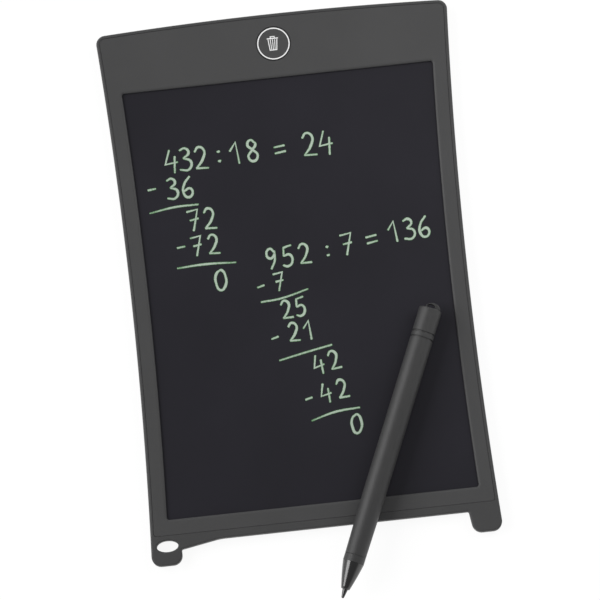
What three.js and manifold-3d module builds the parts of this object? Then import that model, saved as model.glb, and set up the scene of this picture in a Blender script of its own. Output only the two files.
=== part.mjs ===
import * as THREE from 'three';
import { mergeVertices } from 'three/addons/utils/BufferGeometryUtils.js';
import Module from 'manifold-3d';

// A thin pressure-writing tablet with an erase button and a loose stylus, in millimetres.
// It lies on its back: +Z leaves the writing face, +Y points to the erase button, +X to the right.
// The origin is on the back plane, under the middle of the writing window.

// Case outline: hollow sides, an arched top edge and two feet at the lower corners
const waistHalfWidth = 69.75;
const waistY = -8;
const sideRadius = 1866;
const crownY = 116.55;
const crownRadius = 1400;
const topCornerRadius = 3.8;
const bottomEdgeY = -99.5;
const footDrop = 8.85;
const footCornerRadius = 4;
const leftFootWidth = 12.9;
const rightFootWidth = 12.1;
const rightFootLean = 1.3;
const notchCornerRadius = 0.6;
const gussetLength = 16.2;
const gussetDrop = 2.8;
const gussetBlendRadius = 20;

// Lanyard eyelet through the left foot, an ellipse
const eyeletWidth = 8.9;
const eyeletHeight = 4.8;
const eyeletFromSide = 6.8;
const eyeletBelowEdge = 0.9;
const eyeletChamfer = 0.6;

// Case section
const caseDepth = 5;
const floorThickness = 1.1;
const frontEdgeRadius = 0.8;
const backEdgeRadius = 1;
const rimWidth = 1.35;
const bottomRimWidth = 3.35;
const ledgeWidth = 1.95;
const lowerPanelCornerRadius = 1.2;
const ribWidth = 1.2;
const lengthwiseRibSpacing = 60;
const crossRibSpacing = 45;
const crossRibCount = 3;
const filmRibWidth = 2.4;

// Front frame and its window
const plateThickness = 1;
const plateGap = 0.15;
const plateChamfer = 0.15;
const sideBorder = 7.2;
const topBorder = 27.2;
const bottomBorder = 9.8;
const windowCornerRadius = 1;
const windowBevel = 1.2;
const windowLip = 0.35;

// Tape, seal and the film stack behind the window
const tapeThickness = 0.2;
const tapeMargin = 0.25;
const sealThickness = 0.2;
const sealMargin = 0.4;
const filmOverlap = 3.3;
const writingFilmThickness = 0.2;
const crystalThickness = 0.1;
const baseFilmThickness = 0.2;
const backingBoardThickness = 0.6;
const backingBoardMargin = 0.4;
const backingBoardShortfall = 3;

// Erase button
const buttonBelowCrown = 12.85;
const capRadius = 7.1;
const capGap = 0.2;
const capDiscThickness = 0.8;
const capEdgeChamfer = 0.2;
const capWall = 0.8;
const flangeReach = 0.8;
const flangeThickness = 0.25;
const stemRadius = 1.1;
const plungerStandOut = 0.35;
const buttonTravel = 0.3;

// Circuit board and what it carries
const boardLeftReach = 34;
const boardRightReach = 20;
const boardLowerReach = 6.6;
const boardUpperReach = 7.2;
const boardThickness = 0.8;
const bossHeight = 0.8;
const bossRadius = 2.2;
const boardScrewInset = 3;
const screwShankRadius = 0.7;
const screwHoleRadius = 0.9;
const screwHeadRadius = 1.5;
const screwHeadHeight = 0.7;
const screwBite = 1.3;
const screwEndGap = 0.2;
const screwDriveLength = 2;
const screwDriveWidth = 0.4;
const screwDriveDepth = 0.3;
const tactSide = 4.6;
const tactHeight = 0.7;
const tactFloor = 0.1;
const plungerRadius = 1.1;
const plungerGap = 0.2;
const plungerRunningGap = 0.1;
const chipLength = 5;
const chipWidth = 4;
const chipHeight = 0.7;
const chipFromButton = 14;
const chipAboveButton = 3.5;
const inductorSide = 4;
const inductorHeight = 1;
const inductorFromButton = 12.5;
const inductorBelowButton = 3.7;
const inductorCornerCut = 0.6;
const capacitorLength = 2;
const capacitorWidth = 1.25;
const capacitorHeight = 0.8;
const capacitorFromButton = 11.5;
const capacitorPitch = 2.6;
const capacitorCount = 2;

// Lock slider and its switch
const lockFromButton = 25;
const lockTravel = 2;
const lockBodyLength = 8.6;
const lockBodyWidth = 3.4;
const lockBodyHeight = 1;
const lockWall = 0.2;
const lockLeverWidth = 1.4;
const lockLeverReach = 2;
const lockLeverTail = 1.2;
const lockLeverGap = 0.1;
const lockClearance = 0.2;
const lockFaceGap = 0.5;
const lockProngThickness = 1;
const lockProngDepth = 1.2;
const lockGripLength = 5;
const lockGripWidth = 3;
const lockGripRecess = 0.3;
const lockFlangeLip = 0.7;
const lockFlangeThickness = 0.45;
const lockRunningGap = 0.05;
const lockGripGrooveWidth = 0.5;
const lockGripGrooveDepth = 0.25;
const lockGripGroovePitch = 1.1;
const lockGripGrooveCount = 3;

// Coin cell, its cradle, contacts and door
const cellRadius = 10;
const cellHeight = 1.6;
const cellRimStep = 0.2;
const cellCapRadius = 8.6;
const cellFromButton = 34;
const cellBelowButton = 0.5;
const cellGap = 0.3;
const cradleWall = 1.5;
const cradleHeight = 2.1;
const cradleSlotAbove = 2.5;
const cradleSlotBelow = 6.2;
const doorMargin = 0.5;
const doorTab = 4.1;
const doorGap = 0.2;
const doorRecess = 0.2;
const doorCornerRadius = 3;
const doorHeadSeat = 0.4;
const doorHeadHeight = 0.4;
const doorHeadGap = 0.2;
const doorHeadRecess = 0.1;
const contactThickness = 0.2;
const contactWidth = 3;
const contactPadLength = 4.5;
const contactStepLength = 3;
const positiveContactOffset = 3.6;
const positiveContactFoot = 0.2;
const contactGap = 0.1;

// Lead from the film stack to the board
const leadOffset = 5.5;
const leadWidth = 5;
const leadThickness = 0.15;
const leadLanding = 2.4;
const leadStraight = 1.6;
const leadOverhang = 0.5;

// Stylus, measured along its axis from the tip
const stylusLength = 127.3;
const stylusRadius = 4.75;
const stylusWall = 1.4;
const stylusHeading = 23.1;
const stylusTipX = 3.74;
const stylusTipY = -129.75;
const stylusGap = 0.3;
const tenonGap = 0.15;
const tenonLength = 6;
const nibLength = 3.85;
const nibTipRadius = 0.6;
const nibBaseRadius = 1.15;
const nibTail = 7;
const coneFrontRadius = 1.8;
const coneEnd = 15.2;
const coneRadius = 4.4;
const collarLength = 3;
const collarRadius = 4.4;
const barrelTaper = 26;
const endCapLength = 15.7;
const grooveDepth = 0.4;
const grooveWidth = 0.5;
const ringLength = 1.9;
const shoulderRadius = 0.4;
const bailLength = 2.7;
const bailWidth = 6.5;
const bailThickness = 2;
const bailOffset = 0.75;
const bailHoleWidth = 3.2;
const bailHoleHeight = 1.7;
const bailHoleOffset = -0.1;
const bailHoleRise = 1.05;

// Steps on curved outlines and round pieces
const sideSteps = 10;
const crownSteps = 12;
const cornerSteps = 5;
const edgeSteps = 3;
const eyeletSteps = 24;
const smallRoundSteps = 16;
const roundSteps = 32;
const buttonSteps = 44;
const nibTipSteps = 3;
const cornerShare = 0.45;
const weldDistance = 1e-3;
const cutOverrun = 1;

// Levels above the back plane
const plateUnderside = caseDepth - plateThickness;
const ledgeTop = plateUnderside - tapeThickness;
const filmTop = plateUnderside - sealThickness;
const crystalTop = filmTop - writingFilmThickness;
const baseFilmTop = crystalTop - crystalThickness;
const baseFilmUnderside = baseFilmTop - baseFilmThickness;
const backingUnderside = baseFilmUnderside - backingBoardThickness;
const boardUnderside = floorThickness + bossHeight;
const boardTop = boardUnderside + boardThickness;
const plungerTop = boardTop + tactHeight + plungerStandOut;
const cellTop = floorThickness + cellHeight;

// Places in plan
const footEndY = bottomEdgeY - footDrop;
const panelBottomY = bottomEdgeY + bottomRimWidth;
const windowTopY = crownY - topBorder;
const windowBottomY = bottomEdgeY + bottomBorder;
const filmTopY = windowTopY + filmOverlap;
const filmBottomY = windowBottomY - filmOverlap;
const buttonY = crownY - buttonBelowCrown;
const boardLowerY = buttonY - boardLowerReach;
const boardUpperY = buttonY + boardUpperReach;
const cellX = cellFromButton;
const cellY = buttonY - cellBelowButton;
const doorHalfHeight = cellRadius + doorMargin;
const doorLeftX = cellX - cellRadius - doorMargin;
const doorRightX = cellX + cellRadius + doorMargin + doorTab;
const doorScrewX = (cellX + cellRadius + cellGap + doorRightX) / 2;
const lockX = -lockFromButton;
const leverTipY = boardLowerY + lockFaceGap - lockLeverReach;
const prongY = leverTipY + lockProngDepth / 2;

const wasm = await Module();
wasm.setup();

const casePlastic = finish(0x47474a, 0.55, 0);
const capPlastic = finish(0x464648, 0.5, 0);
const clearFilm = finish(0x2c2b31, 0.3, 0);
const blackFilm = finish(0x17171a, 0.5, 0);
const boardResin = finish(0x1f5a38, 0.5, 0);
const copperFoil = finish(0xb5763a, 0.35, 0.9);
const steel = finish(0xb9bcc0, 0.3, 1);
const blackResin = finish(0x19191b, 0.6, 0);
const ferrite = finish(0x3a3a3d, 0.8, 0);
const ceramic = finish(0xb08a5c, 0.6, 0);
const adhesive = finish(0x2a2a2a, 0.9, 0);
const boardGrey = finish(0x55565a, 0.8, 0);
const barrelPlastic = finish(0x4b4b4d, 0.6, 0);
const conePlastic = finish(0x232325, 0.15, 0);

function finish(color, roughness, metalness) {
  return new THREE.MeshStandardMaterial({ color, roughness, metalness });
}

function piece(name, geometry, material) {
  const mesh = new THREE.Mesh(geometry, material);
  mesh.name = name;
  return mesh;
}

// Closed geometry to a solid for cutting and joining, and back
function toSolid(geometry) {
  const loose = geometry.index ? geometry.toNonIndexed() : geometry.clone();
  loose.deleteAttribute('normal');
  loose.deleteAttribute('uv');
  const welded = mergeVertices(loose, weldDistance);
  const vertProperties = new Float32Array(welded.attributes.position.array);
  const triVerts = new Uint32Array(welded.index.array);
  return new wasm.Manifold(new wasm.Mesh({ numProp: 3, vertProperties, triVerts }));
}

function toGeometry(solid) {
  const mesh = solid.getMesh();
  const geometry = new THREE.BufferGeometry();
  geometry.setAttribute('position', new THREE.BufferAttribute(mesh.vertProperties, 3));
  geometry.setIndex(new THREE.BufferAttribute(mesh.triVerts, 1));
  geometry.computeVertexNormals();
  return geometry;
}

// Skin over closed rings of equally many points, each at its own level, lowest first
function loft(levels) {
  const count = levels[0].ring.length;
  const positions = levels.flatMap(({ z, ring }) => ring.flatMap((p) => [p.x, p.y, z]));
  const faces = [];
  for (let level = 0; level + 1 < levels.length; level++) {
    for (let i = 0; i < count; i++) {
      const next = (i + 1) % count;
      const low = level * count;
      const high = low + count;
      faces.push(low + i, low + next, high + next);
      faces.push(low + i, high + next, high + i);
    }
  }
  const last = (levels.length - 1) * count;
  for (const [a, b, c] of THREE.ShapeUtils.triangulateShape(levels[0].ring, [])) {
    faces.push(c, b, a);
  }
  for (const [a, b, c] of THREE.ShapeUtils.triangulateShape(levels.at(-1).ring, [])) {
    faces.push(last + a, last + b, last + c);
  }
  const geometry = new THREE.BufferGeometry();
  geometry.setAttribute('position', new THREE.Float32BufferAttribute(positions, 3));
  geometry.setIndex(faces);
  return geometry;
}

function prism(ring, bottom, top) {
  return toSolid(loft([{ z: bottom, ring }, { z: top, ring }]));
}

function block(minX, maxX, minY, maxY, bottom, top) {
  const geometry = new THREE.BoxGeometry(maxX - minX, maxY - minY, top - bottom);
  geometry.translate((minX + maxX) / 2, (minY + maxY) / 2, (bottom + top) / 2);
  return toSolid(geometry);
}

function post(radius, x, y, bottom, top, steps = smallRoundSteps) {
  const geometry = new THREE.CylinderGeometry(radius, radius, top - bottom, steps);
  geometry.rotateX(Math.PI / 2);
  geometry.translate(x, y, (bottom + top) / 2);
  return toSolid(geometry);
}

// Profile in the XY plane with its thickness along Z
function extruded(points, thickness) {
  const shape = new THREE.Shape(points.map(([x, y]) => new THREE.Vector2(x, y)));
  return new THREE.ExtrudeGeometry(shape, { depth: thickness, bevelEnabled: false });
}

// Turned piece about the Z axis, from radius and height pairs
function turned(profile, steps) {
  const geometry = new THREE.LatheGeometry(profile.map(([r, z]) => new THREE.Vector2(r, z)), steps);
  geometry.rotateX(Math.PI / 2);
  return geometry;
}

// Polygon with rounded corners; a corner without a radius stays sharp
function roundedRing(corners) {
  const points = [];
  corners.forEach(({ x, y, radius }, i) => {
    const corner = new THREE.Vector2(x, y);
    if (!radius) {
      points.push(corner);
      return;
    }
    const before = corners.at(i - 1);
    const after = corners[(i + 1) % corners.length];
    const arriving = corner.clone().sub(before);
    const leaving = new THREE.Vector2(after.x, after.y).sub(corner);
    const room = cornerShare * Math.min(arriving.length(), leaving.length());
    const turn = Math.atan2(arriving.cross(leaving), arriving.dot(leaving));
    const half = Math.tan(Math.abs(turn) / 2);
    const arcRadius = Math.min(radius, room / half);
    arriving.normalize();
    const start = corner.clone().addScaledVector(arriving, -arcRadius * half);
    const side = new THREE.Vector2(-arriving.y, arriving.x).multiplyScalar(Math.sign(turn));
    const centre = start.clone().addScaledVector(side, arcRadius);
    for (let step = 0; step <= cornerSteps; step++) {
      points.push(start.clone().rotateAround(centre, (turn * step) / cornerSteps));
    }
  });
  return points;
}

// Ring moved inwards by one distance all round
function insetRing(ring, distance) {
  return ring.map((point, i) => {
    const arriving = point.clone().sub(ring.at(i - 1)).normalize();
    const leaving = ring[(i + 1) % ring.length].clone().sub(point).normalize();
    const inward = new THREE.Vector2(-arriving.y - leaving.y, arriving.x + leaving.x).normalize();
    const shortening = inward.x * -leaving.y + inward.y * leaving.x;
    return point.clone().addScaledVector(inward, distance / shortening);
  });
}

function halfWidthAt(y) {
  return waistHalfWidth + (y - waistY) ** 2 / (2 * sideRadius);
}

function crownAt(x) {
  return crownY - x ** 2 / (2 * crownRadius);
}

// Points up one hollow side, between two levels and clear of both
function sidePoints(fromY, toY, sideInset) {
  const points = [];
  for (let step = 1; step < sideSteps; step++) {
    const y = fromY + ((toY - fromY) * step) / sideSteps;
    points.push({ x: halfWidthAt(y) - sideInset, y });
  }
  return points;
}

// Right half of an outline from its lower corner to the middle of its top, then mirrored
function mirrorRing(rightHalf) {
  const leftHalf = rightHalf.map((corner) => ({ ...corner, x: -corner.x })).reverse();
  return [...rightHalf, ...leftHalf];
}

function arch(topCornerX, topInset) {
  const points = [];
  for (let step = 1; step < crownSteps / 2; step++) {
    const x = topCornerX * (1 - (2 * step) / crownSteps);
    points.push({ x, y: crownAt(x) - topInset });
  }
  return points;
}

// Panel that follows the hollow sides and the arched top at set distances
function archedPanel(sideInset, topInset, bottomY, bottomRadius = lowerPanelCornerRadius) {
  const shoulderY = crownAt(waistHalfWidth) - topInset;
  const topX = halfWidthAt(shoulderY) - sideInset;
  const topY = crownAt(topX) - topInset;
  const rightHalf = [
    { x: halfWidthAt(bottomY) - sideInset, y: bottomY, radius: bottomRadius },
    ...sidePoints(bottomY, topY, sideInset),
    { x: topX, y: topY, radius: Math.max(topCornerRadius - topInset, lowerPanelCornerRadius) },
    ...arch(topX, topInset),
  ];
  return roundedRing(mirrorRing(rightHalf));
}

// Panel that follows the hollow sides between two straight ends
function straightPanel(sideInset, bottomY, topY, radius) {
  const rightHalf = [
    { x: halfWidthAt(bottomY) - sideInset, y: bottomY, radius },
    ...sidePoints(bottomY, topY, sideInset),
    { x: halfWidthAt(topY) - sideInset, y: topY, radius },
  ];
  return roundedRing(mirrorRing(rightHalf));
}

function caseRing() {
  const sideAtFeet = halfWidthAt(footEndY);
  const leftInner = leftFootWidth - sideAtFeet;
  const rightInner = sideAtFeet - rightFootWidth;
  const shoulderX = halfWidthAt(crownAt(waistHalfWidth));
  const shoulderY = crownAt(shoulderX);
  const side = sidePoints(footEndY, shoulderY, 0);
  const crown = arch(shoulderX, 0);
  const mirrored = (corners) => corners.map(({ x, y }) => ({ x: -x, y })).reverse();
  return roundedRing([
    { x: -sideAtFeet, y: footEndY, radius: footCornerRadius },
    { x: leftInner, y: footEndY, radius: footCornerRadius },
    { x: leftInner, y: bottomEdgeY - gussetDrop, radius: notchCornerRadius },
    { x: leftInner + gussetLength, y: bottomEdgeY, radius: gussetBlendRadius },
    { x: rightInner - rightFootLean, y: bottomEdgeY, radius: notchCornerRadius },
    { x: rightInner, y: footEndY, radius: footCornerRadius },
    { x: sideAtFeet, y: footEndY, radius: footCornerRadius },
    ...side,
    { x: shoulderX, y: shoulderY, radius: topCornerRadius },
    ...crown,
    ...mirrored(crown),
    { x: -shoulderX, y: shoulderY, radius: topCornerRadius },
    ...mirrored(side),
  ]);
}

// Case blank with a rounded back edge and a rounded front edge
function caseBlank() {
  const ring = caseRing();
  const levels = [];
  for (let step = 0; step <= edgeSteps; step++) {
    const angle = (Math.PI / 2) * (step / edgeSteps);
    const z = backEdgeRadius * (1 - Math.cos(angle));
    levels.push({ z, ring: insetRing(ring, backEdgeRadius * (1 - Math.sin(angle))) });
  }
  for (let step = 0; step <= edgeSteps; step++) {
    const angle = (Math.PI / 2) * (step / edgeSteps);
    const z = caseDepth - frontEdgeRadius * (1 - Math.sin(angle));
    levels.push({ z, ring: insetRing(ring, frontEdgeRadius * (1 - Math.cos(angle))) });
  }
  return toSolid(loft(levels));
}

function ellipseRing(centreX, centreY, radiusX, radiusY) {
  const curve = new THREE.EllipseCurve(centreX, centreY, radiusX, radiusY);
  return curve.getPoints(eyeletSteps).slice(0, -1);
}

function eyeletCutter() {
  const y = bottomEdgeY - eyeletBelowEdge;
  const x = eyeletFromSide - halfWidthAt(y);
  const at = (flare) => ellipseRing(x, y, eyeletWidth / 2 + flare, eyeletHeight / 2 + flare);
  return toSolid(loft([
    { z: -cutOverrun, ring: at(eyeletChamfer) },
    { z: 0, ring: at(eyeletChamfer) },
    { z: eyeletChamfer, ring: at(0) },
    { z: caseDepth - eyeletChamfer, ring: at(0) },
    { z: caseDepth, ring: at(eyeletChamfer) },
    { z: caseDepth + cutOverrun, ring: at(eyeletChamfer) },
  ]));
}

function doorRing(margin) {
  const radius = doorCornerRadius + margin;
  return roundedRing([
    { x: doorLeftX - margin, y: cellY - doorHalfHeight - margin, radius },
    { x: doorRightX + margin, y: cellY - doorHalfHeight - margin, radius },
    { x: doorRightX + margin, y: cellY + doorHalfHeight + margin, radius },
    { x: doorLeftX - margin, y: cellY + doorHalfHeight + margin, radius },
  ]);
}

function cellPocket() {
  const top = floorThickness + cradleHeight + cutOverrun;
  const round = post(cellRadius + cellGap, cellX, cellY, floorThickness / 2, top, roundSteps);
  const slot = block(
    doorLeftX - cradleWall - cutOverrun,
    cellX,
    cellY - cradleSlotBelow,
    cellY + cradleSlotAbove,
    floorThickness,
    top,
  );
  return round.add(slot);
}

// Ribs that carry the backing board, and the one under the upper edge of the film
function supportRibs() {
  const ribs = [];
  for (const side of [-1, 1]) {
    const x = (side * lengthwiseRibSpacing) / 2;
    ribs.push([x - ribWidth / 2, x + ribWidth / 2, filmBottomY, windowTopY, backingUnderside]);
  }
  for (let i = 0; i < crossRibCount; i++) {
    const y = (i - (crossRibCount - 1) / 2) * crossRibSpacing;
    ribs.push([-waistHalfWidth, waistHalfWidth, y - ribWidth / 2, y + ribWidth / 2, backingUnderside]);
  }
  ribs.push([-waistHalfWidth, waistHalfWidth, filmTopY - filmRibWidth, filmTopY, baseFilmUnderside]);
  return ribs.map(([minX, maxX, minY, maxY, top]) =>
    block(minX, maxX, minY, maxY, floorThickness / 2, top));
}

function boardScrewPlaces() {
  const y = boardUpperY - boardScrewInset;
  return [
    { name: 'left', x: -boardLeftReach + boardScrewInset, y },
    { name: 'right', x: boardRightReach - boardScrewInset, y },
  ];
}

function rearCover() {
  const blank = caseBlank();
  const recess = prism(archedPanel(rimWidth, rimWidth, panelBottomY), ledgeTop, caseDepth + cutOverrun);
  const inset = rimWidth + ledgeWidth;
  const cavityRing = archedPanel(inset, inset, panelBottomY + ledgeWidth);
  const cavity = prism(cavityRing, floorThickness, ledgeTop + cutOverrun / 2);
  const inside = prism(cavityRing, floorThickness / 2, ledgeTop);
  let cover = blank.subtract(recess).subtract(cavity);
  for (const rib of supportRibs()) {
    cover = cover.add(rib.intersect(inside));
  }
  for (const { x, y } of boardScrewPlaces()) {
    cover = cover.add(post(bossRadius, x, y, floorThickness / 2, boardUnderside));
    const depth = boardUnderside - screwBite;
    cover = cover.subtract(post(screwHoleRadius, x, y, depth, boardUnderside + cutOverrun));
  }
  const cradle = prism(doorRing(cradleWall), floorThickness, floorThickness + cradleHeight);
  const innerCase = prism(archedPanel(rimWidth, rimWidth, panelBottomY), 0, ledgeTop);
  cover = cover.add(cradle.intersect(innerCase));
  cover = cover.subtract(cellPocket());
  cover = cover.subtract(prism(doorRing(doorGap), -cutOverrun, floorThickness));
  const screwTop = floorThickness + cradleHeight + cutOverrun;
  cover = cover.subtract(post(screwHoleRadius, doorScrewX, cellY, 0, screwTop));
  cover = cover.subtract(lockSlot());
  cover = cover.subtract(eyeletCutter());
  return piece('rear_cover', toGeometry(cover), casePlastic);
}

function lockSlot() {
  return block(
    lockX - lockGripLength / 2 - lockClearance,
    lockX + lockGripLength / 2 + lockTravel + lockClearance,
    prongY - lockGripWidth / 2 - lockClearance,
    prongY + lockGripWidth / 2 + lockClearance,
    -cutOverrun,
    floorThickness + cutOverrun / 2,
  );
}

function windowRing(flare) {
  const radius = windowCornerRadius + flare;
  return straightPanel(sideBorder - flare, windowBottomY - flare, windowTopY + flare, radius);
}

function frontFrame() {
  const ring = archedPanel(rimWidth + plateGap, rimWidth + plateGap, panelBottomY + plateGap);
  const plate = toSolid(loft([
    { z: plateUnderside, ring },
    { z: caseDepth - plateChamfer, ring },
    { z: caseDepth, ring: insetRing(ring, plateChamfer) },
  ]));
  const opening = toSolid(loft([
    { z: plateUnderside - cutOverrun, ring: windowRing(0) },
    { z: plateUnderside + windowLip, ring: windowRing(0) },
    { z: caseDepth, ring: windowRing(windowBevel) },
    { z: caseDepth + cutOverrun, ring: windowRing(windowBevel) },
  ]));
  const bottom = plateUnderside - cutOverrun;
  const hole = post(capRadius + capGap, 0, buttonY, bottom, caseDepth + cutOverrun, buttonSteps);
  return piece('front_frame', toGeometry(plate.subtract(opening).subtract(hole)), casePlastic);
}

function frameTape() {
  const outer = rimWidth + plateGap + tapeMargin;
  const inner = rimWidth + ledgeWidth - tapeMargin;
  const outerRing = archedPanel(outer, outer, panelBottomY + plateGap + tapeMargin);
  const innerRing = archedPanel(inner, inner, panelBottomY + ledgeWidth - tapeMargin);
  const tape = prism(outerRing, ledgeTop, plateUnderside);
  const middle = prism(innerRing, ledgeTop - cutOverrun, plateUnderside + cutOverrun);
  return piece('frame_tape', toGeometry(tape.subtract(middle)), adhesive);
}

function filmRing(margin) {
  const inset = sideBorder - filmOverlap + margin;
  return straightPanel(inset, filmBottomY + margin, filmTopY - margin, lowerPanelCornerRadius);
}

function windowSeal() {
  const seal = prism(filmRing(sealMargin), filmTop, plateUnderside);
  const middle = prism(windowRing(sealMargin), filmTop - cutOverrun, plateUnderside + cutOverrun);
  return piece('window_seal', toGeometry(seal.subtract(middle)), adhesive);
}

function filmStack() {
  return [
    piece('writing_film', toGeometry(prism(filmRing(0), crystalTop, filmTop)), clearFilm),
    piece('liquid_crystal_layer', toGeometry(prism(filmRing(0), baseFilmTop, crystalTop)), blackFilm),
    piece('base_film', toGeometry(prism(filmRing(0), baseFilmUnderside, baseFilmTop)), blackFilm),
  ];
}

function backingBoard() {
  const ring = straightPanel(
    sideBorder - filmOverlap + backingBoardMargin,
    filmBottomY + backingBoardMargin,
    filmTopY - backingBoardShortfall,
    lowerPanelCornerRadius,
  );
  return piece('backing_board', toGeometry(prism(ring, backingUnderside, baseFilmUnderside)), boardGrey);
}

// Cap with a hollow underside, a flange that the frame holds back and a stem on the switch
function eraseButtonCap() {
  const flangeBottom = plateUnderside - flangeThickness;
  const discUnderside = caseDepth - capDiscThickness;
  const geometry = turned([
    [0, plungerTop],
    [stemRadius, plungerTop],
    [stemRadius, discUnderside],
    [capRadius - capWall, discUnderside],
    [capRadius - capWall, flangeBottom],
    [capRadius + flangeReach, flangeBottom],
    [capRadius + flangeReach, plateUnderside],
    [capRadius, plateUnderside],
    [capRadius, caseDepth - capEdgeChamfer],
    [capRadius - capEdgeChamfer, caseDepth],
    [0, caseDepth],
  ], buttonSteps);
  const cap = piece('erase_button_cap', geometry, capPlastic);
  cap.position.y = buttonY;
  return cap;
}

function tactSwitch() {
  const half = tactSide / 2;
  const body = block(-half, half, -half, half, 0, tactHeight);
  const well = post(plungerRadius + plungerGap, 0, 0, tactFloor, tactHeight + cutOverrun);
  const housing = piece('tact_switch_housing', toGeometry(body.subtract(well)), steel);
  housing.position.set(0, buttonY, boardTop);
  const plungerBottom = boardTop + tactFloor + buttonTravel + plungerRunningGap;
  const height = plungerTop - plungerBottom;
  const pin = new THREE.CylinderGeometry(plungerRadius, plungerRadius, height, smallRoundSteps);
  pin.rotateX(Math.PI / 2);
  const plunger = piece('tact_switch_plunger', pin, blackResin);
  plunger.position.set(0, buttonY, plungerBottom + height / 2);
  return [housing, plunger];
}

function circuitBoard() {
  let board = block(
    -boardLeftReach,
    boardRightReach,
    boardLowerY,
    boardUpperY,
    boardUnderside,
    boardTop,
  );
  for (const { x, y } of boardScrewPlaces()) {
    const bottom = boardUnderside - cutOverrun;
    board = board.subtract(post(screwHoleRadius, x, y, bottom, boardTop + cutOverrun));
  }
  return piece('circuit_board', toGeometry(board), boardResin);
}

// Cross recess for the driver, cut downwards from the top of a screw head
function driveCutter(headTop) {
  const half = screwDriveLength / 2;
  const narrow = screwDriveWidth / 2;
  const bottom = headTop - screwDriveDepth;
  const top = headTop + cutOverrun;
  const along = block(-half, half, -narrow, narrow, bottom, top);
  return along.add(block(-narrow, narrow, -half, half, bottom, top));
}

// Screw with its head's underside at the local origin and its shank downwards
function screwSolid(headRadius, headHeight, shankLength) {
  const head = post(headRadius, 0, 0, 0, headHeight, smallRoundSteps);
  const shank = post(screwShankRadius, 0, 0, -shankLength, headHeight / 2);
  return head.add(shank).subtract(driveCutter(headHeight));
}

function boardScrews() {
  return boardScrewPlaces().map(({ name, x, y }) => {
    const length = boardThickness + screwBite - screwEndGap;
    const screw = screwSolid(screwHeadRadius, screwHeadHeight, length);
    const mesh = piece(`board_screw_${name}`, toGeometry(screw), steel);
    mesh.position.set(x, y, boardTop);
    return mesh;
  });
}

function boardParts() {
  const chip = piece('driver_chip', new THREE.BoxGeometry(chipLength, chipWidth, chipHeight), blackResin);
  chip.position.set(-chipFromButton, buttonY + chipAboveButton, boardTop + chipHeight / 2);
  const half = inductorSide / 2;
  const cut = half - inductorCornerCut;
  const outline = [[-half, -cut], [-cut, -half], [cut, -half], [half, -cut]];
  const octagon = [...outline, ...outline.map(([x, y]) => [-x, -y])];
  const inductor = piece('boost_inductor', extruded(octagon, inductorHeight), ferrite);
  inductor.position.set(inductorFromButton, buttonY - inductorBelowButton, boardTop);
  const capacitors = [];
  for (let i = 0; i < capacitorCount; i++) {
    const box = new THREE.BoxGeometry(capacitorLength, capacitorWidth, capacitorHeight);
    const capacitor = piece(`capacitor_${i + 1}`, box, ceramic);
    const y = buttonY + (i + 0.5) * capacitorPitch;
    capacitor.position.set(capacitorFromButton, y, boardTop + capacitorHeight / 2);
    capacitors.push(capacitor);
  }
  return [chip, inductor, ...capacitors];
}

// Side-acting slide switch on the lower edge of the board
function lockSwitch() {
  const frontY = boardLowerY + lockFaceGap;
  const leverBottom = boardTop + lockWall + lockRunningGap;
  const leverTop = boardTop + lockBodyHeight - lockWall - lockRunningGap;
  const middle = lockX + lockTravel / 2;
  const body = block(
    middle - lockBodyLength / 2,
    middle + lockBodyLength / 2,
    frontY,
    frontY + lockBodyWidth,
    boardTop,
    boardTop + lockBodyHeight,
  );
  const way = block(
    lockX - lockLeverWidth / 2 - lockClearance,
    lockX + lockLeverWidth / 2 + lockTravel + lockClearance,
    frontY - cutOverrun,
    frontY + lockLeverTail + lockClearance,
    boardTop + lockWall,
    boardTop + lockBodyHeight - lockWall,
  );
  const lever = block(
    lockX - lockLeverWidth / 2,
    lockX + lockLeverWidth / 2,
    leverTipY,
    frontY + lockLeverTail,
    leverBottom,
    leverTop,
  );
  return [
    piece('lock_switch_housing', toGeometry(body.subtract(way)), steel),
    piece('lock_switch_lever', toGeometry(lever), blackResin),
  ];
}

// Grip in the slot of the floor, a flange above the floor and two prongs round the lever
function lockKnob() {
  const grip = lockGripLength / 2;
  const gripWidth = lockGripWidth / 2;
  const flangeBottom = floorThickness + lockRunningGap;
  const flangeTop = flangeBottom + lockFlangeThickness;
  const lip = lockFlangeLip + lockClearance;
  const top = boardTop + lockBodyHeight - lockWall - lockRunningGap;
  let knob = block(-grip, grip, -gripWidth, gripWidth, lockGripRecess, flangeBottom);
  knob = knob.add(block(
    -grip - lip,
    grip + lip,
    -gripWidth - lip,
    gripWidth + lip,
    flangeBottom,
    flangeTop,
  ));
  const innerX = lockLeverWidth / 2 + lockLeverGap;
  for (const side of [-1, 1]) {
    const x = side * (innerX + lockProngThickness / 2);
    knob = knob.add(block(
      x - lockProngThickness / 2,
      x + lockProngThickness / 2,
      -lockProngDepth / 2,
      lockProngDepth / 2,
      flangeTop,
      top,
    ));
  }
  for (let i = 0; i < lockGripGrooveCount; i++) {
    const x = (i - (lockGripGrooveCount - 1) / 2) * lockGripGroovePitch;
    knob = knob.subtract(block(
      x - lockGripGrooveWidth / 2,
      x + lockGripGrooveWidth / 2,
      -gripWidth - cutOverrun,
      gripWidth + cutOverrun,
      lockGripRecess - cutOverrun,
      lockGripRecess + lockGripGrooveDepth,
    ));
  }
  const mesh = piece('lock_knob', toGeometry(knob), capPlastic);
  mesh.position.set(lockX, prongY, 0);
  return mesh;
}

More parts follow.
